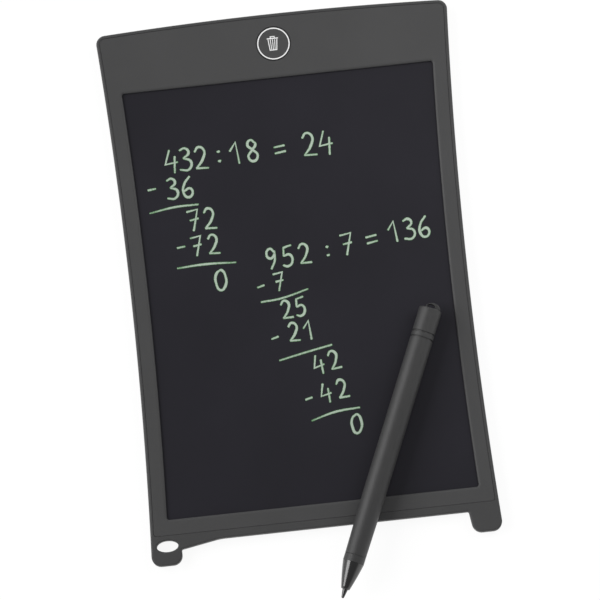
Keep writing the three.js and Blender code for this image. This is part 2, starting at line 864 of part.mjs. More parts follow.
function coinCell() {
  const shoulder = cellHeight - cellRimStep;
  const geometry = turned([
    [0, 0],
    [cellRadius - cellRimStep, 0],
    [cellRadius, cellRimStep],
    [cellRadius, shoulder - cellRimStep],
    [cellRadius - cellRimStep, shoulder],
    [cellCapRadius + cellRimStep, shoulder],
    [cellCapRadius, cellHeight],
    [0, cellHeight],
  ], roundSteps);
  const cell = piece('coin_cell', geometry, steel);
  cell.position.set(cellX, cellY, floorThickness);
  return cell;
}

// Sprung strip from the board to the raised middle of the cell
function negativeContact() {
  const padX = boardRightReach - contactPadLength;
  const stepX = boardRightReach + contactStepLength;
  const upper = cellTop + contactThickness;
  const strip = extruded([
    [padX, boardTop],
    [boardRightReach, boardTop],
    [stepX, cellTop],
    [cellX, cellTop],
    [cellX, upper],
    [stepX, upper],
    [boardRightReach, boardTop + contactThickness],
    [padX, boardTop + contactThickness],
  ], contactWidth);
  strip.rotateX(Math.PI / 2);
  const contact = piece('battery_contact_negative', strip, copperFoil);
  contact.position.y = cellY + contactWidth / 2;
  return contact;
}

// Bent strip from the board to the wall of the cell
function positiveContact() {
  const padX = boardRightReach - contactPadLength;
  const nearEdge = positiveContactOffset - contactWidth / 2;
  const wallX = cellX - Math.sqrt(cellRadius ** 2 - nearEdge ** 2) - contactGap;
  const upper = boardTop + contactThickness;
  const angle = extruded([
    [padX, boardTop],
    [wallX - contactThickness, boardTop],
    [wallX - contactThickness, floorThickness + positiveContactFoot],
    [wallX, floorThickness + positiveContactFoot],
    [wallX, upper],
    [padX, upper],
  ], contactWidth);
  angle.rotateX(Math.PI / 2);
  const contact = piece('battery_contact_positive', angle, copperFoil);
  contact.position.y = cellY - positiveContactOffset + contactWidth / 2;
  return contact;
}

function batteryDoor() {
  let door = prism(doorRing(0), doorRecess, floorThickness);
  const seatTop = doorRecess + doorHeadSeat;
  const headHole = screwHeadRadius + doorHeadGap;
  door = door.subtract(post(headHole, doorScrewX, cellY, doorRecess - cutOverrun, seatTop));
  door = door.subtract(post(screwHoleRadius, doorScrewX, cellY, 0, floorThickness + cutOverrun));
  return piece('battery_door', toGeometry(door), casePlastic);
}

function doorScrew() {
  const length = floorThickness + cradleHeight - doorRecess - doorHeadSeat - doorHeadRecess;
  const screw = screwSolid(screwHeadRadius, doorHeadHeight - doorHeadRecess, length);
  const mesh = piece('battery_door_screw', toGeometry(screw), steel);
  mesh.rotation.x = Math.PI;
  mesh.position.set(doorScrewX, cellY, doorRecess + doorHeadSeat);
  return mesh;
}

// Flat lead that steps down from the edge of the base film to the board
function filmLead() {
  const edgeY = filmTopY;
  const levelY = edgeY + leadStraight;
  const landY = boardLowerY - leadOverhang;
  const endY = boardLowerY + leadLanding;
  const strip = extruded([
    [edgeY, baseFilmUnderside],
    [levelY, baseFilmUnderside],
    [landY, boardTop],
    [endY, boardTop],
    [endY, boardTop + leadThickness],
    [landY, boardTop + leadThickness],
    [levelY, baseFilmUnderside + leadThickness],
    [edgeY, baseFilmUnderside + leadThickness],
  ], leadWidth);
  strip.rotateX(Math.PI / 2);
  strip.rotateZ(Math.PI / 2);
  const lead = piece('film_lead', strip, copperFoil);
  lead.position.x = -leadOffset - leadWidth / 2;
  return lead;
}

// Turned about the stylus axis, from radius and distance-from-tip pairs
function stylusTurned(profile, steps = roundSteps) {
  return new THREE.LatheGeometry(profile.map(([r, y]) => new THREE.Vector2(r, y)), steps);
}

function stylusNib() {
  const profile = [[0, 0]];
  for (let step = 1; step <= nibTipSteps; step++) {
    const angle = (Math.PI / 2) * (step / nibTipSteps);
    profile.push([nibTipRadius * Math.sin(angle), nibTipRadius * (1 - Math.cos(angle))]);
  }
  profile.push([nibBaseRadius, nibLength]);
  profile.push([nibBaseRadius, nibLength + nibTail]);
  profile.push([0, nibLength + nibTail]);
  return piece('stylus_nib', stylusTurned(profile, smallRoundSteps), conePlastic);
}

function stylusCone() {
  const bore = nibBaseRadius + tenonGap;
  const tenon = stylusRadius - stylusWall - tenonGap;
  const profile = [
    [0, nibLength + nibTail + tenonGap],
    [bore, nibLength + nibTail + tenonGap],
    [bore, nibLength],
    [coneFrontRadius - tenonGap, nibLength],
    [coneFrontRadius, nibLength + tenonGap],
    [coneRadius, coneEnd],
    [tenon, coneEnd],
    [tenon, coneEnd + collarLength + tenonLength],
    [0, coneEnd + collarLength + tenonLength],
  ];
  return piece('stylus_cone', stylusTurned(profile), conePlastic);
}

function stylusCollar() {
  const bore = stylusRadius - stylusWall;
  const profile = [
    [bore, coneEnd],
    [collarRadius, coneEnd],
    [collarRadius, coneEnd + collarLength],
    [bore, coneEnd + collarLength],
    [bore, coneEnd],
  ];
  return piece('stylus_collar', stylusTurned(profile), barrelPlastic);
}

function stylusBarrel() {
  const bore = stylusRadius - stylusWall;
  const start = coneEnd + collarLength;
  const end = stylusLength - endCapLength;
  const soften = grooveDepth / 2;
  const profile = [
    [bore, start],
    [collarRadius - soften, start],
    [collarRadius, start + soften],
    [stylusRadius, start + barrelTaper],
    [stylusRadius, end - soften],
    [stylusRadius - soften, end],
    [bore, end],
    [bore, start],
  ];
  return piece('stylus_barrel', stylusTurned(profile), barrelPlastic);
}

// Cap with two grooves and a flat end, on which a small bail for a cord stands off centre
function stylusEndCap() {
  const start = stylusLength - endCapLength;
  const low = stylusRadius - grooveDepth;
  const tenon = stylusRadius - stylusWall - tenonGap;
  const ringStart = start + grooveWidth;
  const ringEnd = ringStart + ringLength;
  const bodyStart = ringEnd + grooveWidth;
  const shoulder = stylusLength - bailLength;
  const profile = [
    [0, start - tenonLength],
    [tenon, start - tenonLength],
    [tenon, start],
    [low, start],
    [low, ringStart],
    [stylusRadius, ringStart],
    [stylusRadius, ringEnd],
    [low, ringEnd],
    [low, bodyStart],
    [stylusRadius, bodyStart],
  ];
  for (let step = 0; step <= edgeSteps; step++) {
    const angle = (Math.PI / 2) * (step / edgeSteps);
    const radius = stylusRadius - shoulderRadius * (1 - Math.cos(angle));
    profile.push([radius, shoulder - shoulderRadius * (1 - Math.sin(angle))]);
  }
  profile.push([0, shoulder]);
  const half = bailThickness / 2;
  const bail = ellipseRing(bailOffset, shoulder, bailWidth / 2, bailLength);
  const hole = ellipseRing(
    bailHoleOffset,
    shoulder + bailHoleRise,
    bailHoleWidth / 2,
    bailHoleHeight / 2,
  );
  const cap = toSolid(stylusTurned(profile))
    .add(prism(bail, -half, half))
    .subtract(prism(hole, -half - cutOverrun, half + cutOverrun));
  return piece('stylus_end_cap', toGeometry(cap), barrelPlastic);
}

// The stylus leans on the inner edge of the lower border and on the writing film
function stylus() {
  const heading = THREE.MathUtils.degToRad(stylusHeading);
  const borderDistance = (windowBottomY - windowBevel - stylusTipY) / Math.cos(heading);
  const restDistance = stylusLength - bailLength - shoulderRadius;
  const tilt = Math.atan2(caseDepth - filmTop, restDistance - borderDistance);
  const axisOverBorder = caseDepth + (stylusRadius + stylusGap) / Math.cos(tilt);
  const group = new THREE.Group();
  group.rotation.set(-tilt, 0, -heading, 'ZXY');
  group.position.set(stylusTipX, stylusTipY, axisOverBorder + borderDistance * Math.tan(tilt));
  group.add(stylusNib(), stylusCone(), stylusCollar(), stylusBarrel(), stylusEndCap());
  return group;
}

const tablet = new THREE.Group();
tablet.add(
  rearCover(),
  frontFrame(),
  frameTape(),
  windowSeal(),
  ...filmStack(),
  backingBoard(),
  eraseButtonCap(),
  ...tactSwitch(),
  circuitBoard(),
  ...boardScrews(),
  ...boardParts(),
  ...lockSwitch(),
  lockKnob(),
  coinCell(),
  negativeContact(),
  positiveContact(),
  batteryDoor(),
  doorScrew(),
  filmLead(),
  stylus(),
);

export default tablet;
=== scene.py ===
import math

import bmesh
import bpy
from mathutils import Matrix, Vector


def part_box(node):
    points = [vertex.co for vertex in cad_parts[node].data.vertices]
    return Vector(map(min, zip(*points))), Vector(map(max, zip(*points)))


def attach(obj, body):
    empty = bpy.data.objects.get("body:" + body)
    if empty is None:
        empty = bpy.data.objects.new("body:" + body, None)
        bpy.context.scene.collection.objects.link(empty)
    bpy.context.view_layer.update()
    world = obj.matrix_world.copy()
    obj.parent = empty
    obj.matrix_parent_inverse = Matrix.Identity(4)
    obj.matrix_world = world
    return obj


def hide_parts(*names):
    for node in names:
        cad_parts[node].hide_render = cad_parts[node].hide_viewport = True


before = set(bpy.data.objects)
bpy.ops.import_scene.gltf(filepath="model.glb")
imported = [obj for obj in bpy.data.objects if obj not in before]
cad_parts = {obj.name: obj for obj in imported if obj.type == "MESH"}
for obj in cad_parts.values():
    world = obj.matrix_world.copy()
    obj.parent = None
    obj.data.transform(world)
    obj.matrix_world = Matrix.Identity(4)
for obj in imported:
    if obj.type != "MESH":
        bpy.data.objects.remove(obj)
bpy.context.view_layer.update()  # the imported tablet, which stays as it is

# A thin writing tablet with an erase button, and the stylus that lies on it.
# Shapes are made in millimetres and scaled to metres as each piece is finished.
mm = 0.001
scene = bpy.context.scene
scene.view_settings.view_transform = "Standard"
print("frame loaded:", len(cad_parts), "nodes")


# Camera, as the photo was taken: from above, a little from the lower end
shot = {
    "tilt": 8.5,  # degrees off the vertical
    "roll": 6.15,
    "distance": 1800,  # millimetres, a long lens
    "pixelsPerMm": 2.414,
    "frameSize": 600,
    "originPixel": (300, 290),  # where the frame's origin shows
    "sensor": 36,
    "nearest": 0.05,  # metres
    "farthest": 20,
}


def addCamera():
    tilt = math.radians(shot["tilt"])
    roll = math.radians(shot["roll"])
    back = Vector((0, -math.sin(tilt), math.cos(tilt)))
    level = Vector((1, 0, 0))
    rise = back.cross(level)
    right = level * math.cos(roll) - rise * math.sin(roll)
    up = level * math.sin(roll) + rise * math.cos(roll)
    middle = shot["frameSize"] / 2
    aside = (middle - shot["originPixel"][0]) / shot["pixelsPerMm"]
    below = (middle - shot["originPixel"][1]) / shot["pixelsPerMm"]
    place = right * aside - up * below + back * shot["distance"]
    data = bpy.data.cameras.new("camera")
    width = shot["frameSize"] / shot["pixelsPerMm"]
    data.sensor_width = shot["sensor"]
    data.lens = data.sensor_width * shot["distance"] / width
    data.clip_start = shot["nearest"]
    data.clip_end = shot["farthest"]
    camera = bpy.data.objects.new("camera", data)
    turn = Matrix((right, up, back)).transposed().to_4x4()
    camera.matrix_world = Matrix.Translation(place * mm) @ turn
    scene.collection.objects.link(camera)
    scene.camera = camera


addCamera()


# Shaping tools
shaping = {
    "weld": 0.0005,  # points nearer than this become one
    "level": 0.001,  # points this near a height lie on it
    "sharp": 0.5,  # radians between two faces
    "segments": 6,
    "softSegments": 2,
    "steps": 96,
}


def slabFrom(bm, height):
    # raise the flat face in a bmesh to a slab
    made = bmesh.ops.extrude_face_region(bm, geom=bm.faces[:])
    raised = [item for item in made["geom"] if isinstance(item, bmesh.types.BMVert)]
    bmesh.ops.translate(bm, verts=raised, vec=(0, 0, height))
    bmesh.ops.recalc_face_normals(bm, faces=bm.faces)
    return bm


def roundCorner(bm, spot, radius, segments):
    # round the corner nearest to a spot to a true radius
    vert = min(bm.verts, key=lambda near: (near.co - spot).length)
    sides = [edge.other_vert(vert).co - vert.co for edge in vert.link_edges]
    reach = radius / math.tan(sides[0].angle(sides[1]) / 2)
    bmesh.ops.bevel(
        bm, geom=[vert], offset=reach, offset_type="ABSOLUTE", affect="VERTICES",
        segments=segments, profile=0.5, material=-1, clamp_overlap=False,
    )


def roundEdges(bm, edges, radius, segments=shaping["segments"]):
    bmesh.ops.bevel(
        bm, geom=edges, offset=radius, offset_type="OFFSET", affect="EDGES",
        segments=segments, profile=0.5, material=-1, clamp_overlap=False,
    )


def edgesAt(bm, z, inside=None):
    # the sharp edges that lie at one height
    found = []
    for edge in bm.edges:
        middle = (edge.verts[0].co + edge.verts[1].co) / 2
        level = all(abs(vert.co.z - z) < shaping["level"] for vert in edge.verts)
        sharp = len(edge.link_faces) == 2 and edge.calc_face_angle() > shaping["sharp"]
        if level and sharp and (inside is None or inside(middle)):
            found.append(edge)
    return found


def boxSlab(minX, maxX, minY, maxY, low, high):
    bm = bmesh.new()
    bmesh.ops.create_cube(bm, size=1)
    bmesh.ops.scale(bm, verts=bm.verts, vec=(maxX - minX, maxY - minY, high - low))
    middle = ((minX + maxX) / 2, (minY + maxY) / 2, (low + high) / 2)
    bmesh.ops.translate(bm, verts=bm.verts, vec=middle)
    return bm


def roundSlab(x, y, low, high, width, length=None, steps=64):
    bm = bmesh.new()
    bmesh.ops.create_circle(bm, cap_ends=True, segments=steps, radius=0.5)
    bmesh.ops.scale(bm, verts=bm.verts, vec=(width, length or width, 1))
    bmesh.ops.translate(bm, verts=bm.verts, vec=(x, y, low))
    return slabFrom(bm, high - low)


def looseObject(bm):
    # an object for the length of one step, since modifiers need one
    mesh = bpy.data.meshes.new("part")
    bm.to_mesh(mesh)
    bm.free()
    made = bpy.data.objects.new("part", mesh)
    scene.collection.objects.link(made)
    return made


def combine(bm, tools, operation="DIFFERENCE"):
    # cut the tools from a solid, or join them to it
    base = looseObject(bm)
    cutters = [looseObject(tool) for tool in tools]
    for cutter in cutters:
        step = base.modifiers.new("step", "BOOLEAN")
        step.operation = operation
        step.solver = "EXACT"
        step.object = cutter
    shaped = base.evaluated_get(bpy.context.evaluated_depsgraph_get())
    result = bmesh.new()
    result.from_mesh(shaped.to_mesh())
    shaped.to_mesh_clear()
    for used in [base, *cutters]:
        mesh = used.data
        bpy.data.objects.remove(used)
        bpy.data.meshes.remove(mesh)
    return result


def spun(profile, steps=shaping["steps"]):
    # profile of radius and height, turned about the Z axis
    bm = bmesh.new()
    verts = [bm.verts.new((radius, 0, z)) for radius, z in profile]
    edges = [bm.edges.new(pair) for pair in zip(verts, verts[1:])]
    bmesh.ops.spin(
        bm, geom=verts + edges, cent=(0, 0, 0), axis=(0, 0, 1),
        angle=math.tau, steps=steps, use_merge=True,
    )
    bmesh.ops.remove_doubles(bm, verts=bm.verts, dist=shaping["weld"])
    bmesh.ops.recalc_face_normals(bm, faces=bm.faces)
    return bm


def finishPiece(bm, name, body, material, replaced=(), soften=0.0, sharpFrom=35):
    # scale to metres, shade, hang the piece on the body it rides on, and hide the frame's nodes it stands
    # for
    bmesh.ops.remove_doubles(bm, verts=bm.verts, dist=shaping["weld"])
    bmesh.ops.recalc_face_normals(bm, faces=bm.faces)
    bmesh.ops.scale(bm, verts=bm.verts, vec=(mm, mm, mm))
    mesh = bpy.data.meshes.new(name)
    bm.to_mesh(mesh)
    bm.free()
    mesh.materials.append(material)
    mesh.shade_smooth()
    piece = bpy.data.objects.new(name, mesh)
    scene.collection.objects.link(piece)
    if soften:
        edge = piece.modifiers.new("edge", "BEVEL")
        edge.width = soften * mm
        edge.segments = shaping["softSegments"]
        edge.limit_method = "ANGLE"
        edge.angle_limit = math.radians(sharpFrom)
        edge.use_clamp_overlap = False
    else:
        mesh.set_sharp_from_angle(angle=math.radians(sharpFrom))
    even = piece.modifiers.new("even", "WEIGHTED_NORMAL")
    even.keep_sharp = True
    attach(piece, body)
    if replaced:
        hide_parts(*replaced)
    return piece


def spanOf(node):
    # lowest and highest corner of a node, in millimetres
    low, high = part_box(node)
    return low / mm, high / mm


# Materials
noise = {
    "roughness": 0.55,
    "low": 0.3,  # most of the noise lies between these two
    "high": 0.7,
    "fine": 2.0,  # detail
    "cloudy": 3.0,
    "flatness": 3,  # a grain is so many times as wide as it is deep
}


def newMaterial(name):
    material = bpy.data.materials.new(name)
    material.use_nodes = True
    tree = material.node_tree
    return material, tree, tree.nodes["Principled BSDF"]


def addNode(tree, kind, inputs=None, **settings):
    made = tree.nodes.new("ShaderNode" + kind)
    for name, value in settings.items():
        setattr(made, name, value)
    for name, value in (inputs or {}).items():
        made.inputs[name].default_value = value
    return made


def noiseOf(tree, place, size, detail=noise["fine"]):
    # noise whose features are about size millimetres across
    inputs = {"Scale": 1 / (size * mm), "Detail": detail, "Roughness": noise["roughness"]}
    made = addNode(tree, "TexNoise", inputs)
    tree.links.new(place, made.inputs["Vector"])
    return made.outputs["Fac"]


def toned(tree, fac, colour, spread):
    # a colour that drifts darker and lighter with the noise
    ramp = addNode(tree, "ValToRGB")
    low, high = ramp.color_ramp.elements
    low.position, high.position = noise["low"], noise["high"]
    low.color = [channel * (1 - spread) for channel in colour] + [1]
    high.color = [channel * (1 + spread) for channel in colour] + [1]
    tree.links.new(fac, ramp.inputs["Fac"])
    return ramp.outputs["Color"]


def rangeOf(tree, fac, low, high):
    # noise spread over a range of values
    inputs = {"From Min": noise["low"], "From Max": noise["high"], "To Min": low, "To Max": high}
    made = addNode(tree, "MapRange", inputs)
    tree.links.new(fac, made.inputs["Value"])
    return made.outputs["Result"]


def moulded(name, look):
    # plastic with a cloudy tone, an uneven sheen and the fine grain of its mould
    material, tree, shader = newMaterial(name)
    place = addNode(tree, "TexCoord").outputs["Object"]
    cloud = noiseOf(tree, place, look["cloud"], noise["cloudy"])
    grain = noiseOf(tree, place, look["grain"])
    tree.links.new(toned(tree, cloud, look["colour"], look["spread"]), shader.inputs["Base Color"])
    tree.links.new(rangeOf(tree, grain, *look["roughness"]), shader.inputs["Roughness"])
    deep = look["grain"] * mm / noise["flatness"]
    bump = addNode(tree, "Bump", {"Strength": look["relief"], "Distance": deep})
    tree.links.new(grain, bump.inputs["Height"])
    tree.links.new(bump.outputs["Normal"], shader.inputs["Normal"])
    shader.inputs["Specular IOR Level"].default_value = look["gloss"]
    return material


def metal(name, look):
    # plated or rolled metal with fine lines along one direction
    material, tree, shader = newMaterial(name)
    place = addNode(tree, "TexCoord").outputs["Object"]
    lay = addNode(tree, "Mapping", {"Scale": rolled["stretch"]})
    tree.links.new(place, lay.inputs["Vector"])
    lines = noiseOf(tree, lay.outputs["Vector"], rolled["lines"], noise["cloudy"])
    tree.links.new(toned(tree, lines, look["colour"], rolled["spread"]), shader.inputs["Base Color"])
    tree.links.new(rangeOf(tree, lines, *look["roughness"]), shader.inputs["Roughness"])
    shader.inputs["Metallic"].default_value = 1
    return material


satin = {  # sizes in millimetres
    "cloud": 30,
    "spread": 0.05,
    "grain": 0.24,
    "relief": 0.9,
    "roughness": (0.44, 0.58),
    "gloss": 0.3,
}
plastics = {
    "case": {**satin, "colour": (0.0535, 0.0535, 0.0543)},
    "frame": {**satin, "colour": (0.0575, 0.0575, 0.0583)},
    "button": {**satin, "colour": (0.06, 0.06, 0.061), "roughness": (0.42, 0.5)},
    "barrel": {**satin, "colour": (0.032, 0.032, 0.0325), "roughness": (0.44, 0.52), "gloss": 0.48},
    "collar": {**satin, "colour": (0.03, 0.03, 0.0305), "roughness": (0.43, 0.5), "gloss": 0.48},
    "cone": {
        **satin, "colour": (0.006, 0.006, 0.0065), "roughness": (0.16, 0.21), "relief": 0.02, "gloss": 1,
    },
    "adhesive": {**satin, "colour": (0.02, 0.02, 0.02), "roughness": (0.75, 0.85)},
    "blackResin": {**satin, "colour": (0.012, 0.012, 0.013), "cloud": 2},
    "ferrite": {**satin, "colour": (0.04, 0.04, 0.043), "roughness": (0.7, 0.85), "cloud": 1},
    "ceramic": {**satin, "colour": (0.42, 0.24, 0.1), "cloud": 1},
    "boardGrey": {**satin, "colour": (0.09, 0.09, 0.1), "roughness": (0.7, 0.8)},
    "solderMask": {
        **satin, "colour": (0.015, 0.1, 0.04), "spread": 0.3, "cloud": 3, "roughness": (0.3, 0.45),
    },
    "baseFilm": {**satin, "colour": (0.008, 0.008, 0.009)},
    "leadFoil": {
        **satin, "colour": (0.35, 0.15, 0.03), "spread": 0.15, "cloud": 1.5, "roughness": (0.25, 0.35),
    },
    "print": {**satin, "colour": (0.92, 0.92, 0.92), "spread": 0.02, "roughness": (0.4, 0.5)},
}
rolled = {"stretch": (1, 14, 14), "lines": 0.6, "spread": 0.08}
metals = {
    "steel": {"colour": (0.5, 0.51, 0.52), "roughness": (0.26, 0.4)},
    "contact": {"colour": (0.62, 0.46, 0.2), "roughness": (0.24, 0.36)},
}
stuff = {name: moulded(name, look) for name, look in plastics.items()}
stuff |= {name: metal(name, look) for name, look in metals.items()}

screen = {
    "colour": (0.0144, 0.0135, 0.019),
    "spread": 0.12,
    "cloud": 55,  # slow drift of tone in the layer
    "grain": 0.35,
    "relief": 0.12,
    "roughness": (0.36, 0.42),
    "gloss": 0.3,
}
stuff["film"] = moulded("film", screen)

written = {
    "core": (0.44, 0.53, 0.44),
    "middle": (0.09, 0.24, 0.09),
    "edge": (0.014, 0.022, 0.015),
    "edgeAt": 0.1,
    "middleAt": 0.5,
    "coreAt": 0.8,
    "fleck": 0.45,  # size of the flecks along a line
    "fleckShare": 0.12,
    "roughness": 0.5,
}


def writtenLine():
    # pale green where the tip pressed hardest, darker and greener at the sides of a line
    material, tree, shader = newMaterial("written")
    place = addNode(tree, "TexCoord").outputs["Object"]
    pressed = addNode(tree, "Attribute", attribute_name="pressed").outputs["Fac"]
    share = written["fleckShare"]
    fleck = rangeOf(tree, noiseOf(tree, place, written["fleck"]), -share, share)
    mixed = addNode(tree, "Math", operation="ADD")
    tree.links.new(pressed, mixed.inputs[0])
    tree.links.new(fleck, mixed.inputs[1])
    ramp = addNode(tree, "ValToRGB")
    stops = ramp.color_ramp.elements
    stops[0].position, stops[1].position = written["edgeAt"], written["coreAt"]
    stops.new(written["middleAt"])
    for stop, tone in zip(stops, ("edge", "middle", "core")):
        stop.color = [*written[tone], 1]
    tree.links.new(mixed.outputs["Value"], ramp.inputs["Fac"])
    tree.links.new(ramp.outputs["Color"], shader.inputs["Base Color"])
    shader.inputs["Roughness"].default_value = written["roughness"]
    shader.inputs["Specular IOR Level"].default_value = screen["gloss"]
    return material


stuff["written"] = writtenLine()
print("materials:", len(stuff))


# Case outline: hollow sides, an arched top and two feet
case = {
    "waistHalfWidth": 69.75,  # at the narrowest place
    "waistY": -8,
    "sideRadius": 1866,  # of the hollow sides
    "crownY": 116.55,
    "crownRadius": 1400,  # of the arched top
    "topRadius": 3.8,
    "lowerEdgeY": -99.5,  # between the feet
    "footDrop": 8.85,
    "footRadius": 4,
    "leftFoot": 12.9,  # widths of the feet
    "rightFoot": 12.1,
    "rightFootLean": 1.3,  # how far the inner side of this foot slants
    "notchRadius": 0.6,
    "gussetLength": 16.2,  # slanting web beside the left foot
    "gussetDrop": 2.8,
    "gussetRadius": 20,
    "rim": 1.35,  # wall round the face plate
    "lowerRim": 3.35,  # band below the face plate
    "ledge": 1.95,  # carries the tape of the face plate
    "panelRadius": 1.2,
    "frontEdge": 0.8,
    "backEdge": 1.0,
    "softEdge": 0.1,
    "curveCuts": 27,  # points along a curved side
    "cornerSegments": 12,
}
eyelet = {
    "width": 8.9,
    "height": 4.8,
    "fromSide": 6.8,
    "belowEdge": 0.9,
    "roll": 0.6,  # rounding of its edge
    "rollSegments": 4,
    "steps": 72,
    "near": 0.1,  # edges this close to its rim belong to it
}


def halfWidthAt(y):
    return case["waistHalfWidth"] + (y - case["waistY"]) ** 2 / (2 * case["sideRadius"])


def crownAt(x):
    return case["crownY"] - x ** 2 / (2 * case["crownRadius"])


def outlined(corners, z, sideInset, crownInset=None):
    # face through a few corners, its long sides drawn in and its top arched, then its corners rounded
    bm = bmesh.new()
    verts = [bm.verts.new((x, y, z)) for x, y, radius in corners]
    bm.faces.new(verts)
    for edge in bm.edges[:]:
        start, end = (vert.co.copy() for vert in edge.verts)
        hollow = abs(start.y - end.y) > case["waistHalfWidth"]
        arched = crownInset is not None and min(start.y, end.y) > 0
        if not hollow and not arched:
            continue
        made = bmesh.ops.subdivide_edges(bm, edges=[edge], cuts=case["curveCuts"])
        for item in made["geom_inner"]:
            if not isinstance(item, bmesh.types.BMVert):
                continue
            if hollow:
                item.co.x = math.copysign(halfWidthAt(item.co.y) - sideInset, item.co.x)
            else:
                item.co.y = crownAt(item.co.x) - crownInset
    for x, y, radius in corners:
        roundCorner(bm, Vector((x, y, z)), radius, case["cornerSegments"])
    return bm


def caseFace(z):
    footY = case["lowerEdgeY"] - case["footDrop"]
    sideX = halfWidthAt(footY)
    leftX = case["leftFoot"] - sideX
    rightX = sideX - case["rightFoot"]
    topX = halfWidthAt(crownAt(case["waistHalfWidth"]))
    corners = [
        (-sideX, footY, case["footRadius"]),
        (leftX, footY, case["footRadius"]),
        (leftX, case["lowerEdgeY"] - case["gussetDrop"], case["notchRadius"]),
        (leftX + case["gussetLength"], case["lowerEdgeY"], case["gussetRadius"]),
        (rightX - case["rightFootLean"], case["lowerEdgeY"], case["notchRadius"]),
        (rightX, footY, case["footRadius"]),
        (sideX, footY, case["footRadius"]),
        (topX, crownAt(topX), case["topRadius"]),
        (-topX, crownAt(topX), case["topRadius"]),
    ]
    return outlined(corners, z, 0, 0)


def panelSlab(inset, lowerY, low, high):
    # slab that keeps one distance to the sides and the arched top
    shoulderX = halfWidthAt(crownAt(case["waistHalfWidth"]) - inset) - inset
    shoulderY = crownAt(shoulderX) - inset
    lowerX = halfWidthAt(lowerY) - inset
    topRadius = max(case["topRadius"] - inset, case["panelRadius"])
    corners = [
        (-lowerX, lowerY, case["panelRadius"]),
        (lowerX, lowerY, case["panelRadius"]),
        (shoulderX, shoulderY, topRadius),
        (-shoulderX, shoulderY, topRadius),
    ]
    return slabFrom(outlined(corners, low, inset, inset), high - low)


def windowSlab(inset, lowerY, upperY, radius, low, high):
    # slab that follows the hollow sides between two straight ends
    lowerX = halfWidthAt(lowerY) - inset
    upperX = halfWidthAt(upperY) - inset
    corners = [
        (-lowerX, lowerY, radius),
        (lowerX, lowerY, radius),
        (upperX, upperY, radius),
        (-upperX, upperY, radius),
    ]
    return slabFrom(outlined(corners, low, inset), high - low)


# Levels and places that the frame gives
depth = spanOf("rear_cover")[1].z
floorTop = spanOf("battery_door")[1].z
ledgeTop = spanOf("frame_tape")[0].z
plateLow = spanOf("front_frame")[0].z
filmLow, filmHigh = spanOf("writing_film")
boardLow = spanOf("circuit_board")[0]
backingLow, backingHigh = spanOf("backing_board")
cellLow, cellHigh = spanOf("coin_cell")
doorLow, doorHigh = spanOf("battery_door")
knobLow, knobHigh = spanOf("lock_knob")
buttonLow, buttonHigh = spanOf("erase_button_cap")
buttonY = (buttonLow.y + buttonHigh.y) / 2
panelLowerY = case["lowerEdgeY"] + case["lowerRim"]

inner = {
    "ribWidth": 1.2,
    "ribsX": (-30, 30),
    "ribsY": (-45, 0, 45),
    "filmRib": 2.4,  # under the upper end of the film
    "bossWidth": 4.4,
    "screwHole": 1.8,
    "screwBite": 1.3,  # depth of a screw's hole in its boss
    "cradleWall": 1.5,  # round the battery opening
    "cradleHeight": 2.1,
    "doorGap": 0.2,
    "doorRadius": 3,
    "cellGap": 0.3,
    "contactRoom": (4, 6.2, 2.5),  # past the door, below and above the cell's middle
    "ribStop": 5,
    "past": 1,  # how far a cut reaches out of what it cuts
    "lockGrip": (5, 3),  # length and width of the slider's grip
    "lockTravel": 2,
    "lockGap": 0.2,
    "lockPast": 0.5,
}


def doorSlab(margin, low, high):
    # the battery opening, grown by a margin
    bm = bmesh.new()
    corners = [
        (doorLow.x - margin, doorLow.y - margin),
        (doorHigh.x + margin, doorLow.y - margin),
        (doorHigh.x + margin, doorHigh.y + margin),
        (doorLow.x - margin, doorHigh.y + margin),
    ]
    verts = [bm.verts.new((x, y, low)) for x, y in corners]
    bm.faces.new(verts)
    for x, y in corners:
        roundCorner(bm, Vector((x, y, low)), inner["doorRadius"] + margin, case["cornerSegments"])
    return slabFrom(bm, high - low)


